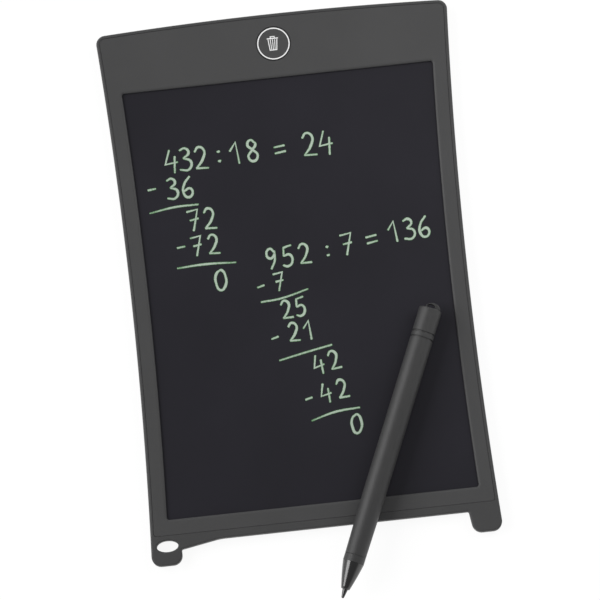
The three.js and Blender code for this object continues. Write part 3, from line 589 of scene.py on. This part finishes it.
def rearCover():
    shell = slabFrom(caseFace(0), depth)
    roundEdges(shell, edgesAt(shell, 0), case["backEdge"])
    roundEdges(shell, edgesAt(shell, depth), case["frontEdge"])
    reach = case["rim"] + case["ledge"]
    hollows = [
        panelSlab(case["rim"], panelLowerY, ledgeTop, depth + inner["past"]),
        panelSlab(reach, panelLowerY + case["ledge"], floorTop, depth),
    ]
    shell = combine(shell, hollows)
    half = inner["ribWidth"] / 2
    root = floorTop / 2
    ribs = [
        boxSlab(x - half, x + half, filmLow.y, filmHigh.y - inner["ribStop"], root, backingLow.z)
        for x in inner["ribsX"]
    ]
    for y in inner["ribsY"]:
        wide = halfWidthAt(y) - case["rim"] - case["ledge"] / 2
        ribs.append(boxSlab(-wide, wide, y - half, y + half, root, backingLow.z))
    wide = halfWidthAt(filmHigh.y) - case["rim"] - case["ledge"] / 2
    ribs.append(boxSlab(-wide, wide, filmHigh.y - inner["filmRib"], filmHigh.y, root, backingHigh.z))
    screwSpots = []
    for node in ("board_screw_left", "board_screw_right"):
        low, high = spanOf(node)
        screwSpots.append(((low.x + high.x) / 2, (low.y + high.y) / 2))
    ribs += [roundSlab(x, y, root, boardLow.z, inner["bossWidth"]) for x, y in screwSpots]
    ribs.append(doorSlab(inner["cradleWall"], root, floorTop + inner["cradleHeight"]))
    shell = combine(shell, ribs, "UNION")
    cellX, cellY = (cellLow.x + cellHigh.x) / 2, (cellLow.y + cellHigh.y) / 2
    cellWidth = cellHigh.x - cellLow.x + 2 * inner["cellGap"]
    screwLow, screwHigh = spanOf("battery_door_screw")
    screwX = (screwLow.x + screwHigh.x) / 2
    knobX, knobY = (knobLow.x + knobHigh.x) / 2, (knobLow.y + knobHigh.y) / 2
    gripX, gripY = (size / 2 + inner["lockGap"] for size in inner["lockGrip"])
    beside, below, above = inner["contactRoom"]
    eyeletY = case["lowerEdgeY"] - eyelet["belowEdge"]
    eyeletX = eyelet["fromSide"] - halfWidthAt(eyeletY)
    cuts = [
        roundSlab(x, y, boardLow.z - inner["screwBite"], depth, inner["screwHole"])
        for x, y in screwSpots
    ]
    cuts += [
        roundSlab(cellX, cellY, root, depth, cellWidth),
        boxSlab(doorLow.x - beside, cellX, cellY - below, cellY + above, floorTop, depth),
        doorSlab(inner["doorGap"], -inner["past"], floorTop),
        roundSlab(screwX, cellY, root, depth, inner["screwHole"]),
        boxSlab(
            knobX - gripX, knobX + gripX + inner["lockTravel"], knobY - gripY, knobY + gripY,
            -inner["past"], floorTop + inner["lockPast"],
        ),
        roundSlab(
            eyeletX, eyeletY, -inner["past"], depth + inner["past"], eyelet["width"], eyelet["height"],
            eyelet["steps"],
        ),
    ]
    shell = combine(shell, cuts)
    bmesh.ops.remove_doubles(shell, verts=shell.verts, dist=shaping["weld"])

    def atEyelet(point):
        aside, reach = abs(point.x - eyeletX), eyelet["height"] / 2 + eyelet["near"]
        return aside < eyelet["width"] and abs(point.y - eyeletY) < reach

    for z in (0, depth):
        roundEdges(shell, edgesAt(shell, z, atEyelet), eyelet["roll"], eyelet["rollSegments"])
    return finishPiece(
        shell, "caseShell", "tablet", stuff["case"], ["rear_cover"], case["softEdge"],
    )


rearCover()
print("case made")


# Face plate with its window and the hole of the button
plate = {
    "gap": 0.12,  # to the rim
    "lowerGap": 0.07,
    "sideBorder": 7.2,
    "topBorder": 27.2,
    "lowerBorder": 9.8,
    "windowRadius": 1,
    "slopeWidth": 1.2,  # of the sloped edge round the window
    "slopeDrop": 0.65,  # how far it falls
    "slopeSegments": 7,
    "softEdge": 0.1,
    "buttonHole": 14.6,
    "past": 1,
    "near": 0.5,  # edges this close to the window belong to it
}
windowUpperY = case["crownY"] - plate["topBorder"]
windowLowerY = case["lowerEdgeY"] + plate["lowerBorder"]


def facePlate():
    # stretched upwards for an even bevel, which comes out wide and shallow once it is pressed flat
    stretch = plate["slopeWidth"] / plate["slopeDrop"]
    high = plateLow + (depth - plateLow) * stretch
    inset = case["rim"] + plate["gap"]
    bm = panelSlab(inset, panelLowerY + plate["lowerGap"], plateLow, high)
    below, above = plateLow - plate["past"], high + plate["past"]
    window = windowSlab(
        plate["sideBorder"], windowLowerY, windowUpperY, plate["windowRadius"], below, above,
    )
    hole = roundSlab(0, buttonY, below, above, plate["buttonHole"], steps=shaping["steps"])
    bm = combine(bm, [window, hole])
    bmesh.ops.remove_doubles(bm, verts=bm.verts, dist=shaping["weld"])

    def atWindow(point):
        near = plate["near"]
        besideX = halfWidthAt(point.y) - plate["sideBorder"] + near
        return abs(point.x) < besideX and windowLowerY - near < point.y < windowUpperY + near

    roundEdges(bm, edgesAt(bm, high, atWindow), plate["slopeWidth"], plate["slopeSegments"])
    bmesh.ops.translate(bm, verts=bm.verts, vec=(0, 0, -plateLow))
    bmesh.ops.scale(bm, verts=bm.verts, vec=(1, 1, 1 / stretch))
    bmesh.ops.translate(bm, verts=bm.verts, vec=(0, 0, plateLow))
    return finishPiece(
        bm, "facePlate", "tablet", stuff["frame"], ["front_frame"], plate["softEdge"],
    )


facePlate()
print("face plate made")


# Erase button, with a printed ring and bin
button = {
    "radius": 7.1,
    "disc": 0.8,  # thickness of its face
    "wall": 0.8,
    "flange": 0.8,
    "flangeThickness": 0.25,
    "stem": 1.1,  # radius of the pin that meets the switch
    "edge": 0.25,
    "edgeSegments": 4,
    "steps": 128,
}
printed = {
    "thickness": 0.02,
    "ringRadius": 6.52,
    "line": 0.46,
    "binAside": -0.25,  # a little left of the ring's middle
    "binTop": 1.85,
    "binBottom": -2.7,
    "binTopWidth": 3.7,
    "binBottomWidth": 2.8,
    "binLine": 0.36,
    "ribs": 3,
    "ribWeight": 0.8,
    "lidWidth": 4.7,
    "lidHeight": 0.42,
    "lidGap": 0.16,
    "handleWidth": 1.7,
    "handleHeight": 0.55,
}


def eraseButton():
    top, low = buttonHigh.z, buttonLow.z
    under = top - button["disc"]
    wall = button["radius"] - button["wall"]
    flangeTop = low + button["flangeThickness"]
    rim = button["radius"] + button["flange"]
    profile = [
        (0, low),
        (button["stem"], low),
        (button["stem"], under),
        (wall, under),
        (wall, low),
        (rim, low),
        (rim, flangeTop),
        (button["radius"], flangeTop),
        (button["radius"], top),
        (0, top),
    ]
    bm = spun(profile, button["steps"])
    roundEdges(bm, edgesAt(bm, top), button["edge"], button["edgeSegments"])
    bmesh.ops.translate(bm, verts=bm.verts, vec=(0, buttonY, 0))
    return finishPiece(
        bm, "eraseButton", "erase_button", stuff["button"], ["erase_button_cap"],
    )


def printedBar(start, end, width):
    # flat bar from one point of the button's face to another
    a, b = Vector((*start, 0)), Vector((*end, 0))
    turn = math.atan2(b.y - a.y, b.x - a.x)
    size = Matrix.Diagonal(((b - a).length, width, printed["thickness"], 1))
    place = Matrix.Translation((a + b) / 2) @ Matrix.Rotation(turn, 4, "Z") @ size
    bm = bmesh.new()
    bmesh.ops.create_cube(bm, size=1, matrix=place)
    return bm


def buttonPrint():
    # a ring, and a bin with ribs, a lid and a handle
    half = printed["line"] / 2
    low, high = -printed["thickness"] / 2, printed["thickness"] / 2
    inside, outside = printed["ringRadius"] - half, printed["ringRadius"] + half
    profile = [(inside, low), (outside, low), (outside, high), (inside, high), (inside, low)]
    ring = spun(profile, button["steps"])
    bmesh.ops.translate(ring, verts=ring.verts, vec=(-printed["binAside"], 0, 0))
    top, bottom = printed["binTop"], printed["binBottom"]
    wide, narrow = printed["binTopWidth"] / 2, printed["binBottomWidth"] / 2
    line = printed["binLine"]
    bars = [printedBar((side * narrow, bottom), (side * wide, top), line) for side in [-1, 1]]
    for rib in range(printed["ribs"]):
        share = (rib + 1) / (printed["ribs"] + 1) * 2 - 1
        bars.append(printedBar((share * narrow, bottom), (share * wide, top), line * printed["ribWeight"]))
    bars.append(printedBar((-narrow - line / 2, bottom), (narrow + line / 2, bottom), line))
    lidY = top + printed["lidGap"] + printed["lidHeight"] / 2
    lidEnd = printed["lidWidth"] / 2
    bars.append(printedBar((-lidEnd, lidY), (lidEnd, lidY), printed["lidHeight"]))
    grip = printed["handleWidth"] / 2
    gripY = lidY + printed["lidHeight"] / 2 + printed["handleHeight"]
    bars += [printedBar((side * grip, lidY), (side * grip, gripY), line) for side in [-1, 1]]
    bars.append(printedBar((-grip - line / 2, gripY), (grip + line / 2, gripY), line))
    bm = combine(ring, bars, "UNION")
    place = (printed["binAside"], buttonY, buttonHigh.z + printed["thickness"] / 2)
    bmesh.ops.translate(bm, verts=bm.verts, vec=place)
    return finishPiece(bm, "buttonPrint", "erase_button", stuff["print"])


eraseButton()
buttonPrint()
print("button made")


# Writing: two sums in plain figures, as the tip left them in the film
pen = {
    "width": 1.25,
    "ruleWeight": 0.88,  # width of a rule beside that of a figure
    "lift": 0.006,  # middle of a line above the film
    "flatness": 0.03,  # share that is left of a round line's height
    "sway": 0.1,  # how far the width wavers from knot to knot
    "swayStep": 2.3,
    "strokeStep": 1.7,
    "endWeight": 0.85,  # the tip lands and leaves lightly
    "runOut": ((0.16, 0.86), (0.13, 0.6), (0.06, 0.4)),  # steps and shares of the width past an end
    "cuts": 10,  # steps between two knots
    "roundness": 3,  # makes ten points round a line
    "sharpFrom": 80,
}
figures = {  # strokes in a cell one high; a round stroke starts with True
    "0": [(
        True, (0.3, 1), (0.08, 0.82), (0.03, 0.35), (0.22, 0.01),
        (0.46, 0.2), (0.5, 0.7), (0.36, 0.97), (0.26, 0.98),
    )],
    "1": [(False, (0, 0.62), (0.3, 1), (0.36, 0))],
    "2": [
        (True, (0.04, 0.8), (0.22, 0.99), (0.45, 0.84), (0.36, 0.42), (0.06, 0.05)),
        (False, (0.06, 0.05), (0.58, 0.02)),
    ],
    "3": [
        (True, (0.04, 0.93), (0.28, 1), (0.43, 0.8), (0.18, 0.56)),
        (True, (0.18, 0.56), (0.5, 0.38), (0.38, 0.04), (0, 0.06)),
    ],
    "4": [
        (False, (0.24, 0.98), (0.02, 0.36), (0.56, 0.42)),
        (False, (0.46, 0.68), (0.4, -0.04)),
    ],
    "5": [
        (False, (0.12, 0.94), (0.08, 0.54)),
        (True, (0.08, 0.54), (0.38, 0.56), (0.46, 0.2), (0.22, 0), (0, 0.08)),
        (False, (0.12, 0.95), (0.5, 1.02)),
    ],
    "6": [
        (True, (0.4, 1), (0.12, 0.66), (0.04, 0.24), (0.24, 0), (0.47, 0.16), (0.38, 0.42), (0.08, 0.32)),
    ],
    "7": [
        (False, (0, 0.92), (0.5, 1), (0.24, 0)),
        (False, (0.12, 0.5), (0.5, 0.56)),
    ],
    "8": [(
        True, (0.4, 0.86), (0.22, 1), (0.06, 0.8), (0.26, 0.54), (0.47, 0.26),
        (0.26, 0), (0.04, 0.22), (0.24, 0.52), (0.43, 0.78), (0.38, 0.9),
    )],
    "9": [
        (True, (0.45, 0.8), (0.26, 1), (0.06, 0.78), (0.2, 0.52), (0.42, 0.66), (0.46, 0.86)),
        (True, (0.46, 0.86), (0.42, 0.4), (0.2, 0)),
    ],
    "-": [(False, (0, 0.42), (0.34, 0.46))],
    ":": [
        (False, (0.08, 0.7), (0.14, 0.69), (0.18, 0.72)),
        (False, (0.1, 0.26), (0.16, 0.25), (0.2, 0.28)),
    ],
    "=": [
        (False, (0, 0.62), (0.5, 0.66)),
        (False, (0.02, 0.32), (0.52, 0.37)),
    ],
}
rows = [  # figures, foot of the first one in x and y, height, step to the next, degrees of rise
    ("432", -50.2, 54.4, 9.4, 6.2, 0),
    (":", -28.8, 54.6, 9, 6, 0),
    ("18", -22.6, 55, 9, 7, 2),
    ("=", -4.2, 54.8, 8.6, 6, 2),
    ("24", 7.4, 55, 9.8, 7, 1),
    ("-", -58.2, 44, 9, 6, 0),
    ("36", -50.4, 43, 8.6, 6.4, 1),
    ("72", -43.2, 28.9, 8.8, 6.6, 0),
    ("-", -48.6, 18.6, 9, 6, 0),
    ("72", -42.8, 18.3, 8.2, 6.8, 0),
    ("0", -34.4, 2.8, 8.6, 6, 0),
    ("952", -12.4, 9.4, 8.4, 6.8, 3),
    (":", 12, 10.6, 8, 6, 0),
    ("7", 18.8, 12, 9, 6, 0),
    ("=", 29.8, 13, 8.6, 6, 4),
    ("136", 39.2, 15.2, 8.6, 6.3, 3),
    ("-", -16.8, -1, 8, 6, 8),
    ("7", -10.4, 0.1, 7.6, 6, 0),
    ("25", -8.3, -12, 7.6, 6, 5),
    ("-", -13.2, -23, 8, 6, 8),
    ("21", -6.6, -21.6, 7.8, 6.4, 1),
    ("42", 2.8, -36.4, 7.8, 6.6, 10),
    ("-", -2, -49.6, 8, 6, 8),
    ("42", 4.3, -48.4, 7.8, 7, 8),
    ("0", 15.2, -62.4, 8, 6, 0),
]
rules = [  # the lines drawn under a figure to be taken away
    ((-58.4, 38.1), (-48, 39.6), (-38.2, 39.7)),
    ((-49.4, 13.9), (-38, 14.4), (-25.2, 13.8)),
    ((-16.4, -3.9), (-8, -3.2), (3.2, -0.5)),
    ((-11.4, -28.9), (-2, -27), (10.6, -24.7)),
    ((-0.8, -55.2), (9, -52.6), (19.2, -51.8)),
]


def addStroke(curve, points, isRound, count, weight=1.0):
    # one line of the tip, a little wider and narrower along its way
    line = curve.splines.new("BEZIER")
    line.bezier_points.add(len(points) - 1)
    for index, (knot, point) in enumerate(zip(line.bezier_points, points)):
        knot.co = (*point, 0)
        knot.handle_left_type = knot.handle_right_type = "AUTO" if isRound else "VECTOR"
        waver = math.sin(pen["swayStep"] * index + pen["strokeStep"] * count)
        press = weight * (1 + pen["sway"] * waver)
        knot.radius = press if 0 < index < len(points) - 1 else press * pen["endWeight"]


def roundEnds(bm):
    # draw the flat end of every line out to a blunt tip
    bmesh.ops.remove_doubles(bm, verts=bm.verts, dist=shaping["weld"])
    bmesh.ops.recalc_face_normals(bm, faces=bm.faces)
    caps = [face for face in bm.faces if len(face.verts) == 3]
    ends = bmesh.ops.dissolve_faces(bm, faces=caps)["region"]
    for reach, share in pen["runOut"]:
        ends = bmesh.ops.extrude_discrete_faces(bm, faces=ends)["faces"]
        for end in ends:
            end.normal_update()
            middle = end.calc_center_median()
            for vert in end.verts:
                vert.co = middle.lerp(vert.co, share) + end.normal * reach


def writing():
    curve = bpy.data.curves.new("writing", "CURVE")
    curve.dimensions = "3D"
    curve.resolution_u = pen["cuts"]
    curve.bevel_depth = pen["width"] / 2
    curve.bevel_resolution = pen["roundness"]
    curve.use_fill_caps = True
    count = 0
    for text, x, y, height, step, rise in rows:
        turn = Matrix.Rotation(math.radians(rise), 2)
        for place, figure in enumerate(text):
            for isRound, *points in figures[figure]:
                placed = [turn @ Vector((place * step + px * height, py * height)) for px, py in points]
                addStroke(curve, [(x + point.x, y + point.y) for point in placed], isRound, count)
                count += 1
    for points in rules:
        addStroke(curve, points, True, count, pen["ruleWeight"])
        count += 1
    tubes = bpy.data.objects.new("tubes", curve)
    scene.collection.objects.link(tubes)
    shaped = tubes.evaluated_get(bpy.context.evaluated_depsgraph_get())
    bm = bmesh.new()
    bm.from_mesh(shaped.to_mesh())
    shaped.to_mesh_clear()
    bpy.data.objects.remove(tubes)
    bpy.data.curves.remove(curve)
    roundEnds(bm)
    pressed = bm.verts.layers.float.new("pressed")
    for vert in bm.verts:
        vert[pressed] = max(0, vert.co.z / (pen["width"] / 2))
    bmesh.ops.scale(bm, verts=bm.verts, vec=(1, 1, pen["flatness"]))
    bmesh.ops.translate(bm, verts=bm.verts, vec=(0, 0, filmHigh.z + pen["lift"]))
    return finishPiece(
        bm, "writing", "tablet", stuff["written"], sharpFrom=pen["sharpFrom"],
    )


writing()
print("writing made")


# Stylus, turned about its own axis from the tip up, then laid on the border and the film
stylus = {
    "length": 127.3,
    "radius": 4.75,
    "bore": 3.35,
    "heading": 23.1,  # degrees to the right of the tablet's length
    "tip": (3.74, -129.75),  # x and y
    "restGap": 0.3,  # over the border
    "fit": 0.15,  # play between a tenon and its bore
    "tenon": 6,
    "nib": 3.85,
    "nibTip": 0.6,
    "nibBase": 1.15,
    "nibTail": 7,  # length inside the cone
    "coneFront": 1.8,
    "coneBelly": 0.14,  # how far the cone's side swells
    "coneEnd": 15.2,
    "coneRadius": 4.4,
    "collar": 3,
    "taper": 26,  # length over which the barrel widens
    "cap": 15.7,
    "groove": 0.4,
    "grooveWidth": 0.5,
    "ring": 1.9,
    "shoulder": 0.4,  # rounding at the end
    "bail": 2.7,  # the loop at the end, how far it stands out
    "bailWidth": 6.5,
    "bailThickness": 2,
    "bailAside": 0.75,
    "bailHole": (3.2, 1.7),
    "bailHoleAside": -0.1,
    "bailHoleRise": 1.05,
    "bailEdge": 0.25,
    "edge": 0.15,
    "nibSteps": 48,
    "coneSteps": 12,
    "roundSteps": 8,
    "bailSegments": 4,
}


def stylusPlace():
    # the barrel rests on the window's border, and the cap on the film
    heading = math.radians(stylus["heading"])
    tipX, tipY = stylus["tip"]
    borderY = windowLowerY - plate["slopeWidth"]
    toBorder = (borderY - tipY) / math.cos(heading)
    toRest = stylus["length"] - stylus["bail"] - stylus["shoulder"]
    tilt = math.atan2(depth - filmHigh.z, toRest - toBorder)
    height = depth + (stylus["radius"] + stylus["restGap"]) / math.cos(tilt) + toBorder * math.tan(tilt)
    spot = Matrix.Translation((tipX, tipY, height))
    return spot @ Matrix.Rotation(-heading, 4, "Z") @ Matrix.Rotation(-tilt, 4, "X")


def spunAlong(profile, steps=shaping["steps"]):
    # profile of radius and distance from the tip
    bm = spun(profile, steps)
    bmesh.ops.rotate(bm, verts=bm.verts, matrix=Matrix.Rotation(math.radians(-90), 3, "X"))
    return bm


def layStylusPart(bm, name, material, node, soften=0.0):
    # from its own axis to its place on the tablet
    bmesh.ops.transform(bm, matrix=stylusPlace(), verts=bm.verts)
    return finishPiece(bm, name, "stylus", material, [node], soften)


def stylusNib():
    radius, base = stylus["nibTip"], stylus["nibBase"]
    profile = [(0, 0)]
    for step in range(1, stylus["roundSteps"] + 1):
        angle = math.pi / 2 * step / stylus["roundSteps"]
        profile.append((radius * math.sin(angle), radius * (1 - math.cos(angle))))
    end = stylus["nib"] + stylus["nibTail"]
    profile += [(base, stylus["nib"]), (base, end), (0, end)]
    bm = spunAlong(profile, stylus["nibSteps"])
    return layStylusPart(bm, "stylusNib", stuff["cone"], "stylus_nib")


def stylusCone():
    start, end = stylus["nib"], stylus["coneEnd"]
    front, back = stylus["coneFront"], stylus["coneRadius"]
    bore = stylus["nibBase"] + stylus["fit"]
    well = start + stylus["nibTail"] + stylus["fit"]
    tenon = stylus["bore"] - stylus["fit"]
    profile = [(0, well), (bore, well), (bore, start), (front - stylus["fit"], start)]
    for step in range(stylus["coneSteps"] + 1):
        share = step / stylus["coneSteps"]
        radius = front + (back - front) * share + stylus["coneBelly"] * math.sin(math.pi * share)
        profile.append((radius, start + stylus["fit"] + (end - start - stylus["fit"]) * share))
    last = end + stylus["collar"] + stylus["tenon"]
    profile += [(tenon, end), (tenon, last), (0, last)]
    bm = spunAlong(profile)
    return layStylusPart(bm, "stylusCone", stuff["cone"], "stylus_cone")


def stylusCollar():
    start, end = stylus["coneEnd"], stylus["coneEnd"] + stylus["collar"]
    outer, inside, edge = stylus["coneRadius"], stylus["bore"], stylus["edge"] / 2
    profile = [
        (inside, start),
        (outer - edge, start),
        (outer, start + edge),
        (outer, end - edge),
        (outer - edge, end),
        (inside, end),
        (inside, start),
    ]
    bm = spunAlong(profile)
    return layStylusPart(bm, "stylusCollar", stuff["collar"], "stylus_collar")


def stylusBarrel():
    start, end = stylus["coneEnd"] + stylus["collar"], stylus["length"] - stylus["cap"]
    outer, inside, edge = stylus["radius"], stylus["bore"], stylus["edge"]
    profile = [
        (inside, start),
        (stylus["coneRadius"] - edge, start),
        (stylus["coneRadius"], start + edge),
        (outer, start + stylus["taper"]),
        (outer, end - edge),
        (outer - edge, end),
        (inside, end),
        (inside, start),
    ]
    bm = spunAlong(profile)
    return layStylusPart(bm, "stylusBarrel", stuff["barrel"], "stylus_barrel")


def stylusCap():
    start, outer = stylus["length"] - stylus["cap"], stylus["radius"]
    low, edge = outer - stylus["groove"], stylus["edge"]
    tenon = stylus["bore"] - stylus["fit"]
    ringStart = start + stylus["grooveWidth"]
    ringEnd = ringStart + stylus["ring"]
    bodyStart = ringEnd + stylus["grooveWidth"]
    shoulderY = stylus["length"] - stylus["bail"]
    profile = [
        (0, start - stylus["tenon"]),
        (tenon, start - stylus["tenon"]),
        (tenon, start),
        (low, start),
        (low, ringStart),
        (outer - edge, ringStart),
        (outer, ringStart + edge),
        (outer, ringEnd - edge),
        (outer - edge, ringEnd),
        (low, ringEnd),
        (low, bodyStart),
        (outer - edge, bodyStart),
        (outer, bodyStart + edge),
    ]
    for step in range(stylus["roundSteps"] + 1):
        angle = math.pi / 2 * step / stylus["roundSteps"]
        inward, drop = 1 - math.cos(angle), 1 - math.sin(angle)
        profile.append((outer - stylus["shoulder"] * inward, shoulderY - stylus["shoulder"] * drop))
    profile.append((0, shoulderY))
    half = stylus["bailThickness"] / 2
    bail = roundSlab(
        stylus["bailAside"], shoulderY, -half, half,
        stylus["bailWidth"], 2 * stylus["bail"], shaping["steps"],
    )
    hole = roundSlab(
        stylus["bailHoleAside"], shoulderY + stylus["bailHoleRise"], -outer, outer, *stylus["bailHole"],
    )
    bail = combine(bail, [hole])
    for z in (-half, half):
        roundEdges(bail, edgesAt(bail, z), stylus["bailEdge"], stylus["bailSegments"])
    bm = combine(spunAlong(profile), [bail], "UNION")
    return layStylusPart(bm, "stylusCap", stuff["barrel"], "stylus_end_cap")


stylusNib()
stylusCone()
stylusCollar()
stylusBarrel()
stylusCap()
print("stylus made")


# Small parts: copies of the frame's own solids, welded and with softened edges
softCopies = {  # node: (body, slot, material, edge)
    "battery_door": ("battery_cover", "case_plastic", "case", 0.15),
    "battery_door_screw": ("battery_cover", "steel", "steel", 0.06),
    "lock_knob": ("lock_slider", "button_plastic", "button", 0.12),
    "lock_switch_lever": ("lock_slider", "black_resin", "blackResin", 0.05),
    "tact_switch_plunger": ("erase_button", "black_resin", "blackResin", 0.08),
    "tact_switch_housing": ("tablet", "steel", "steel", 0.08),
    "circuit_board": ("tablet", "board_resin", "solderMask", 0.06),
    "board_screw_left": ("tablet", "steel", "steel", 0.06),
    "board_screw_right": ("tablet", "steel", "steel", 0.06),
    "driver_chip": ("tablet", "black_resin", "blackResin", 0.08),
    "boost_inductor": ("tablet", "ferrite", "ferrite", 0.1),
    "capacitor_1": ("tablet", "ceramic", "ceramic", 0.08),
    "capacitor_2": ("tablet", "ceramic", "ceramic", 0.08),
    "lock_switch_housing": ("tablet", "steel", "steel", 0.05),
    "coin_cell": ("tablet", "steel", "steel", 0.06),
    "battery_contact_negative": ("tablet", "contact_metal", "contact", 0.04),
    "battery_contact_positive": ("tablet", "contact_metal", "contact", 0.04),
}
copying = {"weld": 0.002, "flat": 1}  # millimetres, and degrees between faces


def softCopy(node, body, material, edge):
    bm = bmesh.new()
    bm.from_mesh(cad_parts[node].data)
    bmesh.ops.scale(bm, verts=bm.verts, vec=(1 / mm, 1 / mm, 1 / mm))
    bmesh.ops.remove_doubles(bm, verts=bm.verts, dist=copying["weld"])
    bmesh.ops.dissolve_limit(
        bm, angle_limit=math.radians(copying["flat"]), verts=bm.verts, edges=bm.edges,
    )
    name = "".join(word.capitalize() for word in node.split("_"))
    return finishPiece(bm, "soft" + name, body, stuff[material], [node], edge)


for node, (body, slotName, material, edge) in softCopies.items():
    softCopy(node, body, material, edge)

# Flat sheets stay as the frame has them and take their finish
sheets = {
    "writing_film": "film",
    "liquid_crystal_layer": "baseFilm",
    "base_film": "baseFilm",
    "backing_board": "boardGrey",
    "frame_tape": "adhesive",
    "window_seal": "adhesive",
    "film_lead": "leadFoil",
}
for node, material in sheets.items():
    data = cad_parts[node].data
    data.materials.clear()
    data.materials.append(stuff[material])
print("small parts made")


# Floor, lights and world
stage = {
    "floorSize": 12,  # metres
    "floorColour": (0.95, 0.95, 0.95, 1),
    "floorGlow": 0.88,  # share of plain white that is mixed in where it is seen
    "glowStrength": 1.04,
    "floorRoughness": 0.9,
    "floorGloss": 0.1,
    "floorBelow": 0.05,  # millimetres
    "touching": 3,  # millimetres, within which the floor lets light through to the back
    "horizon": (1, 1, 1, 1),
    "ceiling": (0.25, 0.25, 0.25, 1),
    "horizonTo": 0.2,  # sine of the height at which the walls start to darken
    "ceilingFrom": 0.6,
}
lamps = {  # place and size in millimetres, power in watts
    "left": {"place": (-3770, 1152, 3078), "size": (4200, 3000), "power": 177},
    "right": {"place": (350, 190, 340), "size": (400, 400), "power": 1},
}


def addFloor():
    bm = bmesh.new()
    bmesh.ops.create_grid(bm, x_segments=1, y_segments=1, size=stage["floorSize"] / 2)
    bmesh.ops.translate(bm, verts=bm.verts, vec=(0, 0, -stage["floorBelow"] * mm))
    mesh = bpy.data.meshes.new("floor")
    bm.to_mesh(mesh)
    bm.free()
    floor = bpy.data.objects.new("floor", mesh)
    scene.collection.objects.link(floor)
    material, tree, shader = newMaterial("floor")
    shader.inputs["Base Color"].default_value = stage["floorColour"]
    shader.inputs["Roughness"].default_value = stage["floorRoughness"]
    shader.inputs["Specular IOR Level"].default_value = stage["floorGloss"]
    link = tree.links.new
    path = addNode(tree, "LightPath")
    seen = addNode(tree, "Math", operation="MAXIMUM")
    seenThrough = addNode(tree, "Math", operation="MAXIMUM")
    share = addNode(tree, "Math", operation="MULTIPLY")
    share.inputs[1].default_value = stage["floorGlow"]
    glow = addNode(tree, "Emission", {"Strength": stage["glowStrength"]})
    pale = addNode(tree, "MixShader")
    link(path.outputs["Is Camera Ray"], seen.inputs[0])
    link(path.outputs["Is Glossy Ray"], seen.inputs[1])
    link(seen.outputs["Value"], seenThrough.inputs[0])
    link(path.outputs["Is Transmission Ray"], seenThrough.inputs[1])
    link(seenThrough.outputs["Value"], share.inputs[0])
    link(share.outputs["Value"], pale.inputs["Fac"])
    link(shader.outputs["BSDF"], pale.inputs[1])
    link(glow.outputs["Emission"], pale.inputs[2])
    # open from below, so that the back of the tablet is lit and can be looked at
    side = addNode(tree, "NewGeometry")
    near = addNode(tree, "Math", operation="LESS_THAN")
    near.inputs[1].default_value = stage["touching"] * mm
    unseen = addNode(tree, "Math", operation="MAXIMUM")
    clear = addNode(tree, "BsdfTransparent")
    whole = addNode(tree, "MixShader")
    link(path.outputs["Ray Length"], near.inputs[0])
    link(side.outputs["Backfacing"], unseen.inputs[0])
    link(near.outputs["Value"], unseen.inputs[1])
    link(unseen.outputs["Value"], whole.inputs["Fac"])
    link(pale.outputs["Shader"], whole.inputs[1])
    link(clear.outputs["BSDF"], whole.inputs[2])
    link(whole.outputs["Shader"], tree.nodes["Material Output"].inputs["Surface"])
    mesh.materials.append(material)


def addWorld():
    # white walls round a darker ceiling
    world = bpy.data.worlds.new("world")
    world.use_nodes = True
    tree = world.node_tree
    place = addNode(tree, "TexCoord").outputs["Object"]
    parts = addNode(tree, "SeparateXYZ")
    ramp = addNode(tree, "ValToRGB")
    low, high = ramp.color_ramp.elements
    low.position, high.position = stage["horizonTo"], stage["ceilingFrom"]
    low.color, high.color = stage["horizon"], stage["ceiling"]
    tree.links.new(place, parts.inputs["Vector"])
    tree.links.new(parts.outputs["Z"], ramp.inputs["Fac"])
    tree.links.new(ramp.outputs["Color"], tree.nodes["Background"].inputs["Color"])
    scene.world = world


def addLamps():
    for name, lamp in lamps.items():
        data = bpy.data.lights.new(name, "AREA")
        data.shape = "RECTANGLE"
        data.size, data.size_y = (side * mm for side in lamp["size"])
        data.energy = lamp["power"]
        light = bpy.data.objects.new(name, data)
        place = Vector(lamp["place"]) * mm
        light.location = place
        light.rotation_euler = place.to_track_quat("Z", "Y").to_euler()
        scene.collection.objects.link(light)


addFloor()
addWorld()
addLamps()
print("stage made")
